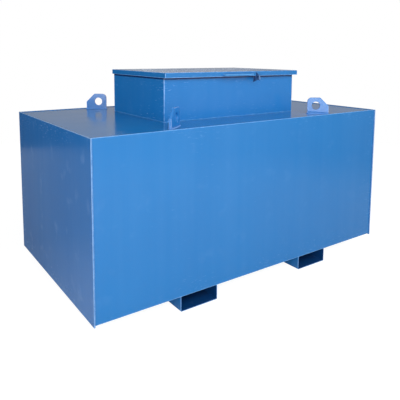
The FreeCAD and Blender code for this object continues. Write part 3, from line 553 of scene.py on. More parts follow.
@dataclass(frozen=True)
class ClearLens(Finish):
    """Clear moulded cover of a dial."""

    name: str = "clear_lens"

    def surface(self, sheet: ShaderSheet) -> dict[str, Any]:
        """Return the value of each of the surface's inputs."""
        haze = sheet.noise(sheet.places(), scale=90.0, detail=5.0).ease(0.55, 0.8)
        return {
            "Base Color": (0.96, 0.98, 0.98, 1.0),
            "Roughness": 0.03 + haze * 0.12,
            "Transmission Weight": 1.0,
            "IOR": 1.1,
            "Normal": sheet.bump(haze, 0.00002),
        }


BLUE = Enamel()
WELD_BLUE = Enamel(
    name="weld_enamel", colour=(0.005, 0.115, 0.330), gloss=0.22, edge_share=0.0, scuffs=0.2, ripple=0.0004
)
# paler than BLUE, with a paler rim: painted highlight on the lugs
LUG_BLUE = Enamel(name="lug_enamel", colour=(0.008, 0.165, 0.50), pale=(0.30, 0.46, 0.80))
LUG_WELD_BLUE = Enamel(name="lug_weld_enamel", colour=(0.07, 0.24, 0.62), edge_share=0.0, ripple=0.0004)
# deeper tone than BLUE is painted shade on the ends; the paler, whiter rim is a painted edge highlight
END_BLUE = Enamel(
    name="end_enamel", colour=(0.009, 0.140, 0.430), deep=(0.007, 0.112, 0.375),
    pale=(0.34, 0.55, 0.86), edge_width=0.0028, scuffs=0.22, scuff_level=0.66, haze=0.10,
)
# the wide pale rim is a painted highlight on the box's bends; lip_shade paints shade under the lid's lip
BOX_BLUE = Enamel(
    name="box_enamel", colour=(0.006, 0.172, 0.490), gloss=0.22, edge_width=0.006, lip_shade=0.030
)
# paler than BLUE: painted highlight along the handle bar
LIT_HANDLE_BLUE = Enamel(name="lit_handle_enamel", colour=(0.050, 0.270, 0.600), edge_share=0.2, scuffs=0.3)
DECK_BLUE = Enamel(name="deck_enamel", wave=0.00016, dust=0.04)
# its wall setting paints shade on the pockets' inner faces
POCKET_BLUE = Enamel(name="pocket_enamel", wall=0.005)
# near-black blue: painted shade on both padlock ears
SHADED_EAR_BLUE = Enamel(name="shaded_ear_enamel", colour=(0.003, 0.050, 0.170), deep=(0.002, 0.030, 0.120), edge_share=0.5)
FOOT_BLUE = Enamel(
    name="foot_weld_enamel", colour=(0.015, 0.190, 0.500), gloss=0.38, edge_share=0.0, scuffs=0.0
)
ZINC = ZincPlate()
MESH_ZINC = ZincPlate(name="perforated_zinc", holes=0.008)
RUBBER = DullCoat("rubber", (0.018, 0.018, 0.019), (0.10, 0.10, 0.10), 0.62, 900.0, 0.00008, 0.35)
PLASTIC = DullCoat("moulded_plastic", (0.022, 0.023, 0.025), (0.13, 0.13, 0.14), 0.40, 1500.0, 0.00005, 0.18)
VINYL = DullCoat("lever_vinyl", (0.55, 0.030, 0.022), (0.62, 0.16, 0.13), 0.34, 800.0, 0.00005, 0.25)
DIAL = DullCoat("dial_enamel", (0.80, 0.80, 0.77), (0.62, 0.60, 0.54), 0.38, 700.0, 0.00002, 0.30)
DIAL_INK = DullCoat("dial_ink", (0.02, 0.02, 0.022), (0.08, 0.08, 0.08), 0.5, 900.0, 0.00001, 0.2)
POINTER_RED = DullCoat("pointer_red", (0.62, 0.03, 0.02), (0.66, 0.12, 0.1), 0.4, 800.0, 0.00002, 0.2)
CAST = BareMetal("cast_aluminium", (0.66, 0.67, 0.68), (0.42, 0.43, 0.44), 0.42, 620.0, 0.00022, 0.5)
BRASS = BareMetal("brass", (0.80, 0.58, 0.27), (0.42, 0.27, 0.12), 0.27, 380.0, 0.00006, 0.55, 5200.0)
CHROME = BareMetal("chrome", (0.72, 0.73, 0.74), (0.45, 0.45, 0.46), 0.10, 500.0, 0.00002, 0.3)
LENS = ClearLens()


def node(name: str) -> bpy.types.Object:
    """Return a solid piece of the frame."""
    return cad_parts[name]


def box_between(low: Point, high: Point) -> Box:
    """Return the box between its lowest and its highest corner."""
    return Vector(low), Vector(high)


def box_of(name: str) -> Box:
    """Return a solid piece's box."""
    return box_between(*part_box(name))


def dress(target: bpy.types.Object, material: bpy.types.Material) -> None:
    """Give an object one material."""
    target.data.materials.clear()
    target.data.materials.append(material)


def ease_edges(name: str, width: float) -> None:
    """Round a solid piece's sharp edges with live modifiers.

    Args:
        name: the piece.
        width: how far each edge is cut back, in metres.
    """
    target = node(name)
    weld = target.modifiers.new("joined_corners", "WELD")
    weld.merge_threshold = SOLID_JOIN_REACH
    bevel = target.modifiers.new("eased_edges", "BEVEL")
    bevel.width = width
    bevel.segments = 2
    bevel.limit_method = "ANGLE"
    bevel.angle_limit = SOLID_CREASE
    bevel.use_clamp_overlap = True
    bevel.harden_normals = False


def coat(name: str, finish: Finish, width: float = 0.0, **details: Any) -> None:
    """Finish a solid piece, and round its edges where it has a width for that.

    Args:
        name: the piece.
        finish: what it is made or coated with.
        width: how far each edge is cut back, in metres.
        details: what else the finish asks for.
    """
    dress(node(name), finish.material(name, **details))
    if width:
        ease_edges(name, width)


def paint(name: str, finish: Enamel = BLUE, width: float = 0.0006) -> None:
    """Paint a solid piece and round its edges.

    Args:
        name: the piece.
        finish: its enamel.
        width: how far each edge is cut back, in metres.
    """
    coat(name, finish, width, box=box_of(name))


class Workpiece:
    """A new mesh that is being made, and the object that it ends as."""

    def __init__(self, name: str) -> None:
        """Start an empty mesh.

        Args:
            name: the piece's name.
        """
        self.name = name
        self.mesh = bmesh.new()

    def box(self, low: Point, high: Point) -> list[bmesh.types.BMVert]:
        """Add a box from its lowest to its highest corner and return its vertices."""
        low, high = Vector(low), Vector(high)
        place = Matrix.Translation((low + high) / 2) @ Matrix.Diagonal((*(high - low), 1.0))
        return bmesh.ops.create_cube(self.mesh, size=1.0, matrix=place)["verts"]

    def tube(
        self, start: Vector, along: Vector, length: float, radius: float, sides: int = 24
    ) -> list[bmesh.types.BMVert]:
        """Add a closed cylinder.

        Args:
            start: the middle of its first end.
            along: its direction.
            length: its length.
            radius: its radius.
            sides: its faces round.

        Returns:
            Its vertices.
        """
        turn = along.to_track_quat("Z", "Y").to_matrix().to_4x4()
        place = Matrix.Translation(start + along.normalized() * (length / 2)) @ turn
        return bmesh.ops.create_cone(
            self.mesh, cap_ends=True, cap_tris=False, segments=sides, radius1=radius,
            radius2=radius, depth=length, matrix=place,
        )["verts"]

    def soften(self, width: float, segments: int = 2) -> None:
        """Bevel every sharp edge made so far.

        Args:
            width: how far each edge is cut back.
            segments: the faces across.
        """
        sharp = [e for e in self.mesh.edges if e.is_manifold and e.calc_face_angle(0.0) > NEW_CREASE]
        bmesh.ops.bevel(
            self.mesh, geom=sharp, offset=width, offset_type="OFFSET", segments=segments,
            profile=0.5, affect="EDGES", clamp_overlap=True, material=-1,
        )

    def done(
        self, material: bpy.types.Material, body: Body = Body.RESERVOIR, smooth: bool = True
    ) -> bpy.types.Object:
        """Turn the mesh into an object that rides on a body.

        Args:
            material: its finish.
            body: the body it rides on.
            smooth: whether its faces shade smoothly.

        Returns:
            The object.
        """
        bmesh.ops.remove_doubles(self.mesh, verts=self.mesh.verts[:], dist=JOIN_REACH)
        bmesh.ops.recalc_face_normals(self.mesh, faces=self.mesh.faces[:])
        for face in self.mesh.faces:
            face.smooth = smooth
        data = bpy.data.meshes.new(self.name)
        self.mesh.to_mesh(data)
        self.mesh.free()
        made = bpy.data.objects.new(self.name, data)
        bpy.context.scene.collection.objects.link(made)
        dress(made, material)
        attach(made, body.value)
        LOG.info("made %s on %s, %d faces", self.name, body.value, len(data.polygons))
        return made

    def painted(self, finish: Enamel, label: str, box: Box, body: Body = Body.RESERVOIR) -> None:
        """Turn the mesh into a painted weld.

        Args:
            finish: its enamel.
            label: what the enamel is called there.
            box: the box whose edges wear it.
            body: the body it rides on.
        """
        self.done(finish.material(label, box=box), body)


@dataclass
class WeldBeads:
    """Weld beads with their ripples, swept along lines and rings."""

    pitch: float = 0.0045  # the length of one ripple
    sides: int = 8
    swell: float = 0.13  # how much of its radius a ripple adds
    tip: float = 0.55  # how thick a line ends
    line_ripples: int = 4
    ring_ripples: int = 24

    def line(self, piece: Workpiece, start: Point, end: Point, radius: float) -> None:
        """Add a straight bead.

        Args:
            piece: the mesh that takes it.
            start: one end of its middle line.
            end: the other end.
            radius: half its width.
        """
        start, end = Vector(start), Vector(end)
        run = end - start
        steps = max(self.line_ripples, round(run.length / self.pitch) * 2)
        along = run.normalized()
        before = len(piece.mesh.verts)
        verts = piece.tube(start, run, run.length, radius, self.sides)
        ribs = {edge for vert in verts for edge in vert.link_edges}
        ribs = [e for e in ribs if abs((e.verts[0].co - e.verts[1].co).dot(along)) > run.length / 2]
        bmesh.ops.subdivide_edges(piece.mesh, edges=ribs, cuts=steps - 1)
        piece.mesh.verts.ensure_lookup_table()
        step = run.length / steps
        for vert in piece.mesh.verts[before:]:
            number = round((vert.co - start).dot(along) / step)
            core = start + along * number * step
            taper = self.tip if number in (0, steps) else 1.0
            swell = 1.0 + self.swell * (1 if number % 2 else -1)
            vert.co = core + (vert.co - core) * taper * swell

    def ring(
        self, piece: Workpiece, centre: Point, reach: float, radius: float, axis: Vector = UP
    ) -> None:
        """Add a bead round a circle.

        Args:
            piece: the mesh that takes it.
            centre: the circle's centre.
            reach: the circle's radius.
            radius: half the bead's width.
            axis: the line it goes round.
        """
        centre = Vector(centre)
        side = axis.orthogonal().normalized()
        spin_way = axis.cross(side).normalized()
        turn = spin_way.to_track_quat("Z", "Y").to_matrix().to_4x4()
        place = Matrix.Translation(centre + side * reach) @ turn
        before = len(piece.mesh.verts)
        made = bmesh.ops.create_circle(
            piece.mesh, cap_ends=False, segments=self.sides, radius=radius, matrix=place
        )["verts"]
        edges = list({edge for vert in made for edge in vert.link_edges})
        ripples = max(self.ring_ripples, round(FULL_TURN * reach / self.pitch))
        bmesh.ops.spin(
            piece.mesh, geom=made + edges, cent=centre, axis=axis, dvec=(0.0, 0.0, 0.0),
            angle=FULL_TURN, steps=ripples * 2, use_merge=True, use_duplicate=False,
        )
        piece.mesh.verts.ensure_lookup_table()
        for vert in piece.mesh.verts[before:]:
            offset = vert.co - centre
            flat = offset - axis * offset.dot(axis)
            angle = math.atan2(flat.dot(spin_way), flat.dot(side))
            core = centre + flat.normalized() * reach
            vert.co = core + (vert.co - core) * (1.0 + self.swell * math.cos(angle * ripples))


BEADS = WeldBeads()


class Assembly(ABC):
    """A sub-assembly of the reservoir."""

    @abstractmethod
    def dress(self) -> None:
        """Finish the solid pieces."""

    def build(self) -> None:
        """Make what the solids leave out, if anything."""


@dataclass
class TankShell(Assembly):
    """The tank's plates, and the welds that join them."""

    half_length: float = 1.0
    half_depth: float = 0.566
    weld_depth: float = 0.570  # half the depth over the welds
    end_face: float = 0.994
    front_face: float = 0.560
    inner_face: float = 0.555
    bottom: float = 0.080
    wall_top: float = 0.933
    bead: float = 0.0030
    bottom_bead: float = 0.0022
    sink: float = 0.0006  # how far the deck's beads lie into their corner
    end_gap: float = 0.0002  # the same off the end plates
    seat: float = 0.001  # the same off the walls, underneath
    stop: float = 0.001  # how far the corner beads end below the walls' edge
    margin: float = 0.010  # how far the enamel's box reaches past the beads

    def dress(self) -> None:
        """Paint the plates."""
        for name in ("left_end_plate", "right_end_plate"):
            paint(name, END_BLUE, 0.0007)
        for name in ("front_plate", "rear_plate"):
            paint(name, width=0.0007)
        for name in ("bottom_plate", "baffle_left", "baffle_right"):
            paint(name, width=0.0005)
        paint("top_plate", DECK_BLUE, 0.0005)

    def build(self) -> None:
        """Lay the welds along the plates' seams."""
        self.weld_deck()
        for side, label in SIDES:
            self.weld_corner(side, label)
        self.weld_bottom()

    def seam_box(self, half_depth: float, height: float) -> Box:
        """Return the box of the level seams at one height, half_depth to both sides."""
        low = (-self.half_length, -half_depth, height - self.margin)
        return box_between(low, (self.half_length, half_depth, height + self.margin))

    def weld_deck(self) -> None:
        """Weld the deck to the four walls."""
        piece = Workpiece("deck_seam_weld")
        end = self.end_face
        seam = self.inner_face - self.sink
        for side in (-1, 1):
            edge = side * (end - self.sink)
            BEADS.line(piece, (-end, side * seam, DECK), (end, side * seam, DECK), self.bead)
            BEADS.line(piece, (edge, -seam, DECK), (edge, seam, DECK), self.bead)
        piece.painted(WELD_BLUE, "deck_seam", self.seam_box(self.half_depth, DECK))

    def weld_corner(self, side: int, label: str) -> None:
        """Weld an end plate to the front, rear and bottom plates.

        Args:
            side: -1 at the left end, 1 at the right.
            label: the end's name.
        """
        piece = Workpiece(f"{label}_corner_welds")
        x = side * (self.end_face + self.end_gap)
        for way in (-1, 1):
            y = way * (self.front_face + PROUD)
            BEADS.line(piece, (x, y, self.bottom), (x, y, self.wall_top - self.stop), self.bead)
        z = self.bottom - PROUD
        BEADS.line(piece, (x, -self.front_face, z), (x, self.front_face, z), self.bead)
        low = (x - self.margin, -self.weld_depth, self.bottom - self.margin)
        high = (x + self.margin, self.weld_depth, DECK + self.margin)
        piece.painted(WELD_BLUE, f"{label}_corner", box_between(low, high))

    def weld_bottom(self) -> None:
        """Weld the bottom plate to the front and rear plates."""
        piece = Workpiece("bottom_seam_weld")
        end = self.end_face
        for way in (-1, 1):
            y = way * (self.inner_face + self.seat)
            BEADS.line(piece, (-end, y, self.bottom), (end, y, self.bottom), self.bottom_bead)
        piece.painted(WELD_BLUE, "bottom_seam", self.seam_box(self.weld_depth, self.bottom))


@dataclass
class ForkPockets(Assembly):
    """Channels under the tank for a fork truck's tines."""

    spacing: float = 0.845
    width: float = 0.230
    reach: float = 0.560
    top: float = 0.080
    stitch: float = 0.070
    stitches: int = 5
    bead: float = 0.0032

    def dress(self) -> None:
        """Paint the channels."""
        for _, label in SIDES:
            paint(f"fork_pocket_{label}", POCKET_BLUE)

    def build(self) -> None:
        """Lay stitch welds between each channel and the tank's bottom."""
        z = self.top - PROUD
        for side, label in SIDES:
            piece = Workpiece(f"fork_pocket_{label}_welds")
            for edge in (-1, 1):
                x = side * self.spacing / 2 + edge * (self.width / 2 + PROUD)
                for number in range(self.stitches):
                    share = (number + 0.5) / self.stitches * 2 - 1
                    y = share * (self.reach - self.stitch / 2)
                    BEADS.line(piece, (x, y - self.stitch / 2, z), (x, y + self.stitch / 2, z), self.bead)
            piece.painted(WELD_BLUE, f"pocket_{label}", box_of(f"fork_pocket_{label}"))


@dataclass
class LiftingLugs(Assembly):
    """Four eye plates welded to the deck, turned towards the middle."""

    reach_x: float = 0.515
    reach_y: float = 0.474
    turn: float = math.radians(38)
    inner: float = 0.052
    outer: float = 0.078
    plate: float = 0.012
    height: float = 0.100
    side_bead: float = 0.0048
    end_bead: float = 0.0045
    proud: float = 0.0008

    def places(self) -> list[tuple[str, Vector, float]]:
        """Return each lug's name, hole centre on the deck and turn."""
        found = []
        for way, row in ((-1, "front"), (1, "rear")):
            for side, label in SIDES:
                turn = -way * self.turn if side < 0 else math.pi + way * self.turn
                foot = Vector((side * self.reach_x, way * self.reach_y, DECK))
                found.append((f"lifting_lug_{row}_{label}", foot, turn))
        return found

    def dress(self) -> None:
        """Paint the lugs."""
        for name, foot, turn in self.places():
            along = Vector((math.cos(turn), math.sin(turn), 0.0))
            centre = foot + along * ((self.inner - self.outer) / 2) + UP * (self.height / 2)
            half = Vector(((self.inner + self.outer) / 2, self.plate / 2, self.height / 2))
            coat(name, LUG_BLUE, 0.0012, box=(centre - half, centre + half), turn=turn)

    def build(self) -> None:
        """Lay a fillet weld round each lug's foot."""
        for name, foot, turn in self.places():
            piece = Workpiece(f"{name}_weld")
            along = Vector((math.cos(turn), math.sin(turn), 0.0))
            across = Vector((-along.y, along.x, 0.0))
            rise = UP * self.proud
            for side in (-1, 1):
                middle = foot + across * side * (self.plate / 2 + self.proud) + rise
                BEADS.line(piece, middle - along * self.outer, middle + along * self.inner, self.side_bead)
            for end in (-self.outer, self.inner):
                middle = foot + along * end + rise
                side = across * (self.plate / 2)
                BEADS.line(piece, middle - side, middle + side, self.end_bead)
            piece.painted(LUG_WELD_BLUE, name, box_of(name))


@dataclass
class ServiceBox(Assembly):
    """The box on the deck, its rim, its ear and the weld round its foot."""

    side: float = 0.480
    face: float = 0.305
    corner: float = 0.009
    bead: float = 0.0026
    ear_bead: float = 0.0020
    ear_stop: float = 0.001

    def dress(self) -> None:
        """Paint the box."""
        paint("service_box_wrap", BOX_BLUE, 0.0005)
        paint("service_box_rear_wall", BOX_BLUE, 0.0005)
        paint("service_box_rim", width=0.0005)
        paint("box_padlock_ear", SHADED_EAR_BLUE, 0.0008)

    def build(self) -> None:
        """Weld the box's foot to the deck, and the ear to the box."""
        foot = Workpiece("service_box_foot_weld")
        z = DECK + PROUD
        long, short = self.side - self.corner, self.face - self.corner
        for way in (-1, 1):
            x, y = way * (self.side + PROUD), way * (self.face + PROUD)
            BEADS.line(foot, (-long, y, z), (long, y, z), self.bead)
            BEADS.line(foot, (x, -short, z), (x, short, z), self.bead)
        foot.painted(FOOT_BLUE, "box_foot", box_of("service_box_wrap"))
        ear = Workpiece("box_ear_weld")
        low, high = box_of("box_padlock_ear")
        x, y = high.x + PROUD, high.y - PROUD
        BEADS.line(ear, (x, y, low.z + self.ear_stop), (x, y, high.z - self.ear_stop), self.ear_bead)
        ear.painted(FOOT_BLUE, "box_ear", (low, high))


@dataclass
class Lid(Assembly):
    """The folded lid with its stiffeners, handle, ear and seal."""

    seal_half: Pair = (0.4675, 0.2925)
    seal_top: float = 1.1925
    strip: float = 0.0075  # half the width of the seal's strip
    strip_height: float = 0.0025
    bulb: float = 0.0030
    bulb_drop: float = 0.0022  # from the strip down to the bulb's middle
    rod_bead: float = 0.0019
    rod_gap: float = 0.0002
    ear_bead: float = 0.0020
    ear_stop: float = 0.003

    def dress(self) -> None:
        """Paint the lid and its fittings."""
        paint("lid_panel", width=0.0005)
        paint("lid_stiffeners", width=0.0004)
        paint("lid_handle", LIT_HANDLE_BLUE, 0.0)
        paint("lid_padlock_ear", SHADED_EAR_BLUE, 0.0008)

    def build(self) -> None:
        """Make the seal and the fittings' welds."""
        self.make_seal()
        self.weld_fittings()

    def make_seal(self) -> None:
        """Make the bulb seal that stands for the plain one."""
        piece = Workpiece("lid_bulb_seal")
        base = self.seal_top - self.strip_height
        for way in (-1, 1):
            for axis in (0, 1):
                half, other = self.seal_half[axis], way * self.seal_half[1 - axis]
                low, high = [0.0, 0.0, base], [0.0, 0.0, self.seal_top]
                low[axis], high[axis] = -half - self.strip, half + self.strip
                low[1 - axis], high[1 - axis] = other - self.strip, other + self.strip
                piece.box(low, high)
                start, run = Vector((0.0, 0.0, base - self.bulb_drop)), Vector()
                start[axis], start[1 - axis] = -half, other
                run[axis] = 1.0
                piece.tube(start, run, 2 * half, self.bulb, 16)
        fitted = piece.done(RUBBER.material("lid_bulb_seal"), Body.LID, False)
        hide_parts("lid_gasket")

    def weld_fittings(self) -> None:
        """Weld the handle's feet and the ear to the flange."""
        piece = Workpiece("lid_fitting_welds")
        low, high = box_of("lid_handle")
        height = (low.z + high.z) / 2
        rod = (high.z - low.z) / 2
        for x in (low.x + rod, high.x - rod):
            foot = (x, high.y - PROUD, height)
            BEADS.ring(piece, foot, rod + self.rod_gap, self.rod_bead, Vector((0.0, 1.0, 0.0)))
        ear_low, ear_high = box_of("lid_padlock_ear")
        x, y = ear_low.x - PROUD, ear_high.y - PROUD
        BEADS.line(piece, (x, y, low.z), (x, y, ear_high.z - self.ear_stop), self.ear_bead)
        piece.painted(FOOT_BLUE, "lid_fittings", (low, high), Body.LID)


@dataclass
class Hinges(Assembly):
    """Two butt hinges behind the box."""

    bead: float = 0.0022

    def dress(self) -> None:
        """Paint the leaves and plate the pins."""
        for _, label in SIDES:
            paint(f"hinge_{label}_box_leaf", width=0.0004)
            paint(f"hinge_{label}_lid_leaf", width=0.0004)
        coat("hinge_pins", ZINC)

    def build(self) -> None:
        """Weld each box leaf to the rear wall along its lower edge."""
        for _, label in SIDES:
            piece = Workpiece(f"hinge_{label}_weld")
            low, high = box_of(f"hinge_{label}_box_leaf")
            wall = low.y + PROUD
            BEADS.line(piece, (low.x, wall, low.z), (high.x, wall, low.z), self.bead)
            piece.painted(FOOT_BLUE, f"hinge_{label}", (low, high))


@dataclass
class Manhole(Assembly):
    """The bolted inspection opening."""

    x: float = -0.240
    flange: float = 0.215
    bead: float = 0.0040

    def dress(self) -> None:
        """Paint the ring and cover, and finish the gasket and bolts."""
        paint("manhole_ring")
        paint("manhole_cover")
        coat("manhole_gasket", RUBBER)
        coat("manhole_bolts", ZINC, 0.0006)

    def build(self) -> None:
        """Weld the ring to the deck."""
        piece = Workpiece("manhole_ring_weld")
        BEADS.ring(piece, (self.x, 0.0, DECK + RING_PROUD), self.flange + RING_PROUD, self.bead)
        piece.painted(WELD_BLUE, "manhole_ring", box_of("manhole_ring"))


@dataclass
class Filler(Assembly):
    """Filler neck, basket and cap, with the welds of the neck and the breather."""

    neck: Pair = (0.110, -0.170)
    neck_radius: float = 0.0450
    neck_bead: float = 0.0035
    breather: Pair = (0.060, 0.220)
    breather_radius: float = 0.0215
    breather_bead: float = 0.0030

    def dress(self) -> None:
        """Finish the neck, basket, seal and cap."""
        coat("filler_neck", ZINC, 0.0006)
        coat("filler_strainer", MESH_ZINC)
        coat("filler_cap_seal", RUBBER)
        coat("filler_cap", PLASTIC, 0.0007)

    def build(self) -> None:
        """Weld the neck and the breather's pipe to the deck."""
        piece = Workpiece("neck_welds")
        z = DECK + RING_PROUD
        BEADS.ring(piece, (*self.neck, z), self.neck_radius, self.neck_bead)
        BEADS.ring(piece, (*self.breather, z), self.breather_radius, self.breather_bead)
        piece.painted(WELD_BLUE, "necks", box_between((0.0, -0.22, 0.92), (0.2, 0.25, 0.94)))


@dataclass
class Breather(Assembly):
    """Vent pipe and filter canister."""

    def dress(self) -> None:
        """Finish the pipe and the canister."""
        coat("breather_pipe", ZINC)
        coat("breather_filter", PLASTIC, 0.0010)


@dataclass
class OilLine(Assembly):
    """One oil line: pipe, ball valve, lever and plug, with its can in the tank."""

    label: str
    x: float
    can: str
    body: Body
    lever_z: float = 1.0805
    valve_y: float = 0.005
    line_y: float = 0.170
    grip_reach: Pair = (0.1425, 0.0520)  # left of the valve
    grip_half: float = 0.0125
    grip_below: float = 0.0025
    grip_above: float = 0.0065
    grip_edge: float = 0.0035
    collar: float = 0.0425
    bead: float = 0.0035
    patch: Vector = field(default_factory=lambda: Vector((0.05, 0.05, 0.01)))

    def dress(self) -> None:
        """Finish the line's pieces."""
        axis = (self.x, self.valve_y, 0.0)
        coat(f"{self.label}_pipe", ZINC, 0.0005)
        for part in ("valve_body", "plug"):
            coat(f"{self.label}_{part}", BRASS, 0.0008, axis=axis)
        coat(f"{self.label}_valve_ball", CHROME)
        for part in ("valve_lever", "valve_nut"):
            coat(f"{self.label}_{part}", ZINC, 0.0006)
        coat(self.can, MESH_ZINC)

    def build(self) -> None:
        """Slip a vinyl grip on the lever and weld the collar to the deck."""
        grip = Workpiece(f"{self.label}_lever_grip")
        far, near = self.grip_reach
        low = (self.x - far, self.valve_y - self.grip_half, self.lever_z - self.grip_below)
        high = (self.x - near, self.valve_y + self.grip_half, self.lever_z + self.grip_above)
        grip.box(low, high)
        grip.soften(self.grip_edge, 3)
        grip.done(VINYL.material(f"{self.label}_grip"), self.body)
        piece = Workpiece(f"{self.label}_collar_weld")
        centre = Vector((self.x, self.line_y, DECK + RING_PROUD))
        BEADS.ring(piece, centre, self.collar, self.bead)
        box = (centre - self.patch, centre + self.patch)
        piece.painted(WELD_BLUE, f"{self.label}_collar", box)


@dataclass
class LevelGauge(Assembly):
    """Dial gauge with its scale, frame, arm and float."""

    x: float = 0.050
    y: float = 0.020
    dial_top: float = 0.957
    marks: int = 21
    long_every: int = 5
    sweep: float = math.radians(220)
    mark_reach: float = 0.0315
    mark_length: Pair = (0.0035, 0.0065)
    mark_half: Pair = (0.00035, 0.0006)
    mark_height: float = 0.0003
    screws: int = 4
    screw_circle: float = 0.044
    screw_foot: float = 0.937
    screw_height: float = 0.0025
    screw_radius: float = 0.0032
    screw_edge: float = 0.0005

    def dress(self) -> None:
        """Finish the gauge's pieces."""
        coat("gauge_housing", CAST, 0.0008, axis=(self.x, self.y, 0.0))
        coat("gauge_dial", DIAL)
        coat("gauge_lens", LENS)
        coat("gauge_pointer", POINTER_RED)
        for name in ("gauge_frame", "float_arm", "float"):
            coat(name, ZINC)

    def build(self) -> None:
        """Make the dial's marks and the housing's screws."""
        scale = Workpiece("gauge_scale")
        for number in range(self.marks):
            kind = int(number % self.long_every == 0)
            turn = math.pi - number / (self.marks - 1) * self.sweep
            half, inner = self.mark_half[kind], self.mark_reach - self.mark_length[kind]
            verts = scale.box((inner, -half, 0.0), (self.mark_reach, half, self.mark_height))
            spin = Matrix.Rotation(turn, 3, "Z")
            bmesh.ops.rotate(scale.mesh, verts=verts, cent=(0.0, 0.0, 0.0), matrix=spin)
            bmesh.ops.translate(scale.mesh, verts=verts, vec=(self.x, self.y, self.dial_top))
        scale.done(DIAL_INK.material("gauge_scale"), smooth=False)
        screws = Workpiece("gauge_screws")
        for number in range(self.screws):
            turn = (number + 0.5) * FULL_TURN / self.screws
            x = self.x + self.screw_circle * math.cos(turn)
            y = self.y + self.screw_circle * math.sin(turn)
            screws.tube(Vector((x, y, self.screw_foot)), UP, self.screw_height, self.screw_radius, 20)
        screws.soften(self.screw_edge)
        screws.done(ZINC.material("gauge_screws"))


@dataclass(frozen=True)
class Lamp:
    """A soft rectangular lamp."""

    name: str
    place: Point
    aim: Point
    size: Pair
    power: float
    mirrored: bool = True  # whether gloss shows it

    def hang(self) -> None:
        """Hang the lamp, out of the camera's sight."""
        data = bpy.data.lights.new(self.name, "AREA")
        data.shape = "RECTANGLE"
        data.size, data.size_y = self.size
        data.energy = self.power
        lamp = bpy.data.objects.new(self.name, data)
        lamp.location = self.place
        lamp.rotation_euler = (Vector(self.aim) - Vector(self.place)).to_track_quat("-Z", "Y").to_euler()
        lamp.visible_camera = False
        lamp.visible_glossy = self.mirrored
        bpy.context.scene.collection.objects.link(lamp)


LAMPS = (
    Lamp("key_lamp", (-2.8, -3.5, 1.15), (-0.2, -0.3, 0.7), (4.0, 1.7), 85.0),
    Lamp("canopy_lamp", (-0.5, -3.5, 3.0), (0.0, -1.0, 0.4), (3.2, 1.6), 95.0, False),
    Lamp("fill_lamp", (2.8, -4.0, 2.4), (0.4, -0.3, 0.5), (2.0, 1.6), 30.0, False),
    Lamp("left_lamp", (-4.2, 0.3, 2.3), (-0.7, 0.0, 0.9), (1.6, 1.6), 30.0),
    Lamp("right_lamp", (4.6, 0.1, 2.0), (0.8, 0.0, 0.6), (1.6, 1.6), 45.0),
    Lamp("rear_left_lamp", (-0.8, 4.9, 1.4), (0.0, 0.5, 0.6), (1.2, 1.6), 55.0, False),
    Lamp("rear_lamp", (2.6, 4.2, 3.2), (0.0, 0.4, 0.5), (2.4, 1.6), 30.0),
)


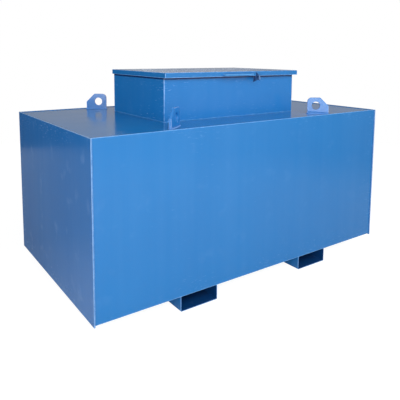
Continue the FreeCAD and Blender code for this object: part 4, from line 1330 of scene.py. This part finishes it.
@dataclass
class Studio:
    """Plain floor, soft lamps, pale surroundings and the camera."""

    floor_reach: float = 4.6
    floor_tones: Point = (0.62, 0.27, 0.36)
    floor_glow: float = 1.31
    floor_glow_share: float = 0.72
    camera_place: Point = (-1.7728, -2.4650, 1.2920)
    yaw: float = math.radians(35.25)
    pitch: float = math.radians(-6.67)
    roll: float = math.radians(0.36)
    lens: float = 42.89
    shift: float = -0.225

    def lay_floor(self) -> None:
        """Lay a round white floor that keeps a soft shadow."""
        mesh = bmesh.new()
        bmesh.ops.create_circle(mesh, cap_ends=True, segments=96, radius=self.floor_reach)
        data = bpy.data.meshes.new("studio_floor")
        mesh.to_mesh(data)
        mesh.free()
        floor = bpy.data.objects.new("studio_floor", data)
        bpy.context.scene.collection.objects.link(floor)
        material, sheet = new_material("studio_floor")
        x, y, _ = sheet.parts(sheet.places())
        before, behind, right = ((grey,) * 3 for grey in self.floor_tones)
        tone = sheet.blend(y.ease(-0.4, 0.9), before, behind)
        tone = sheet.blend(x.ease(1.5, 3.4) * y.ease(-0.9, -1.5), tone, right)
        plain = sheet.node("ShaderNodeBsdfDiffuse", {"Color": tone})
        glow = sheet.node("ShaderNodeEmission", {"Color": WHITE, "Strength": self.floor_glow})
        sheet.finish(sheet.mixed(sheet.ray("Is Camera Ray") * self.floor_glow_share, plain, glow))
        dress(floor, material)

    def set_surroundings(self) -> None:
        """Make the world: white to the eye, and a pale room in gloss."""
        world = bpy.data.worlds.new("studio")
        world.use_nodes = True
        bpy.context.scene.world = world
        sheet = ShaderSheet(world.node_tree)
        way = sheet.node("ShaderNodeTexCoord").outputs["Generated"]
        x, y, _ = sheet.parts(way)
        blotch = sheet.noise(sheet.stretched(way, (1.0, 1.0, 2.4)), scale=3.4, detail=2.0)
        behind = y.ease(0.0, 0.5)
        left_rear = behind * x.ease(0.06, -0.12)
        beside = x.ease(0.60, 0.76) * y.ease(0.55, 0.38)
        room = 0.75 - behind * 0.37 - left_rear * 0.36 - beside * 0.34 + (blotch - 0.5) * 0.30
        mirrored = sheet.background(sheet.blend(room, (0.0, 0.0, 0.0), (1.0, 0.985, 0.95)), 1.0)
        soft = sheet.background(WHITE, 0.40)
        white = sheet.background(WHITE, 1.0)
        direct = sheet.ray("Is Camera Ray").most(sheet.ray("Is Transmission Ray"))
        lit = sheet.mixed(sheet.ray("Is Glossy Ray"), soft, mirrored)
        sheet.finish(sheet.mixed(direct, lit, white), "World")

    def set_camera(self) -> None:
        """Place the camera."""
        level_share = math.cos(self.pitch)
        forward = Vector(
            (math.sin(self.yaw) * level_share, math.cos(self.yaw) * level_share, math.sin(self.pitch))
        )
        level = Vector((math.cos(self.yaw), -math.sin(self.yaw), 0.0))
        upright = level.cross(forward)
        right = level * math.cos(self.roll) + upright * math.sin(self.roll)
        up = right.cross(forward)
        turn = Matrix((right, up, -forward)).transposed().to_4x4()
        data = bpy.data.cameras.new("studio_camera")
        data.sensor_width = 36.0
        data.lens = self.lens
        data.shift_y = self.shift
        camera = bpy.data.objects.new("studio_camera", data)
        camera.matrix_world = Matrix.Translation(self.camera_place) @ turn
        bpy.context.scene.collection.objects.link(camera)
        bpy.context.scene.camera = camera

    def build(self) -> None:
        """Set up the whole studio."""
        bpy.context.scene.view_settings.view_transform = "Standard"
        self.lay_floor()
        self.set_surroundings()
        for lamp in LAMPS:
            lamp.hang()
        self.set_camera()


def main() -> None:
    """Build and dress every sub-assembly, then the studio."""
    logging.basicConfig(level=logging.INFO, format="%(name)s: %(message)s")
    assemblies: tuple[Assembly, ...] = (
        TankShell(), ForkPockets(), LiftingLugs(), ServiceBox(), Lid(), Hinges(), Manhole(), Filler(),
        Breather(),
        OilLine("suction", 0.230, "suction_strainer", Body.SUCTION_LEVER),
        OilLine("return", 0.400, "return_diffuser", Body.RETURN_LEVER),
        LevelGauge(),
    )
    for assembly in assemblies:
        assembly.dress()
        assembly.build()
        LOG.info("%s is done", type(assembly).__name__)
    Studio().build()


if __name__ == "__main__":
    main()
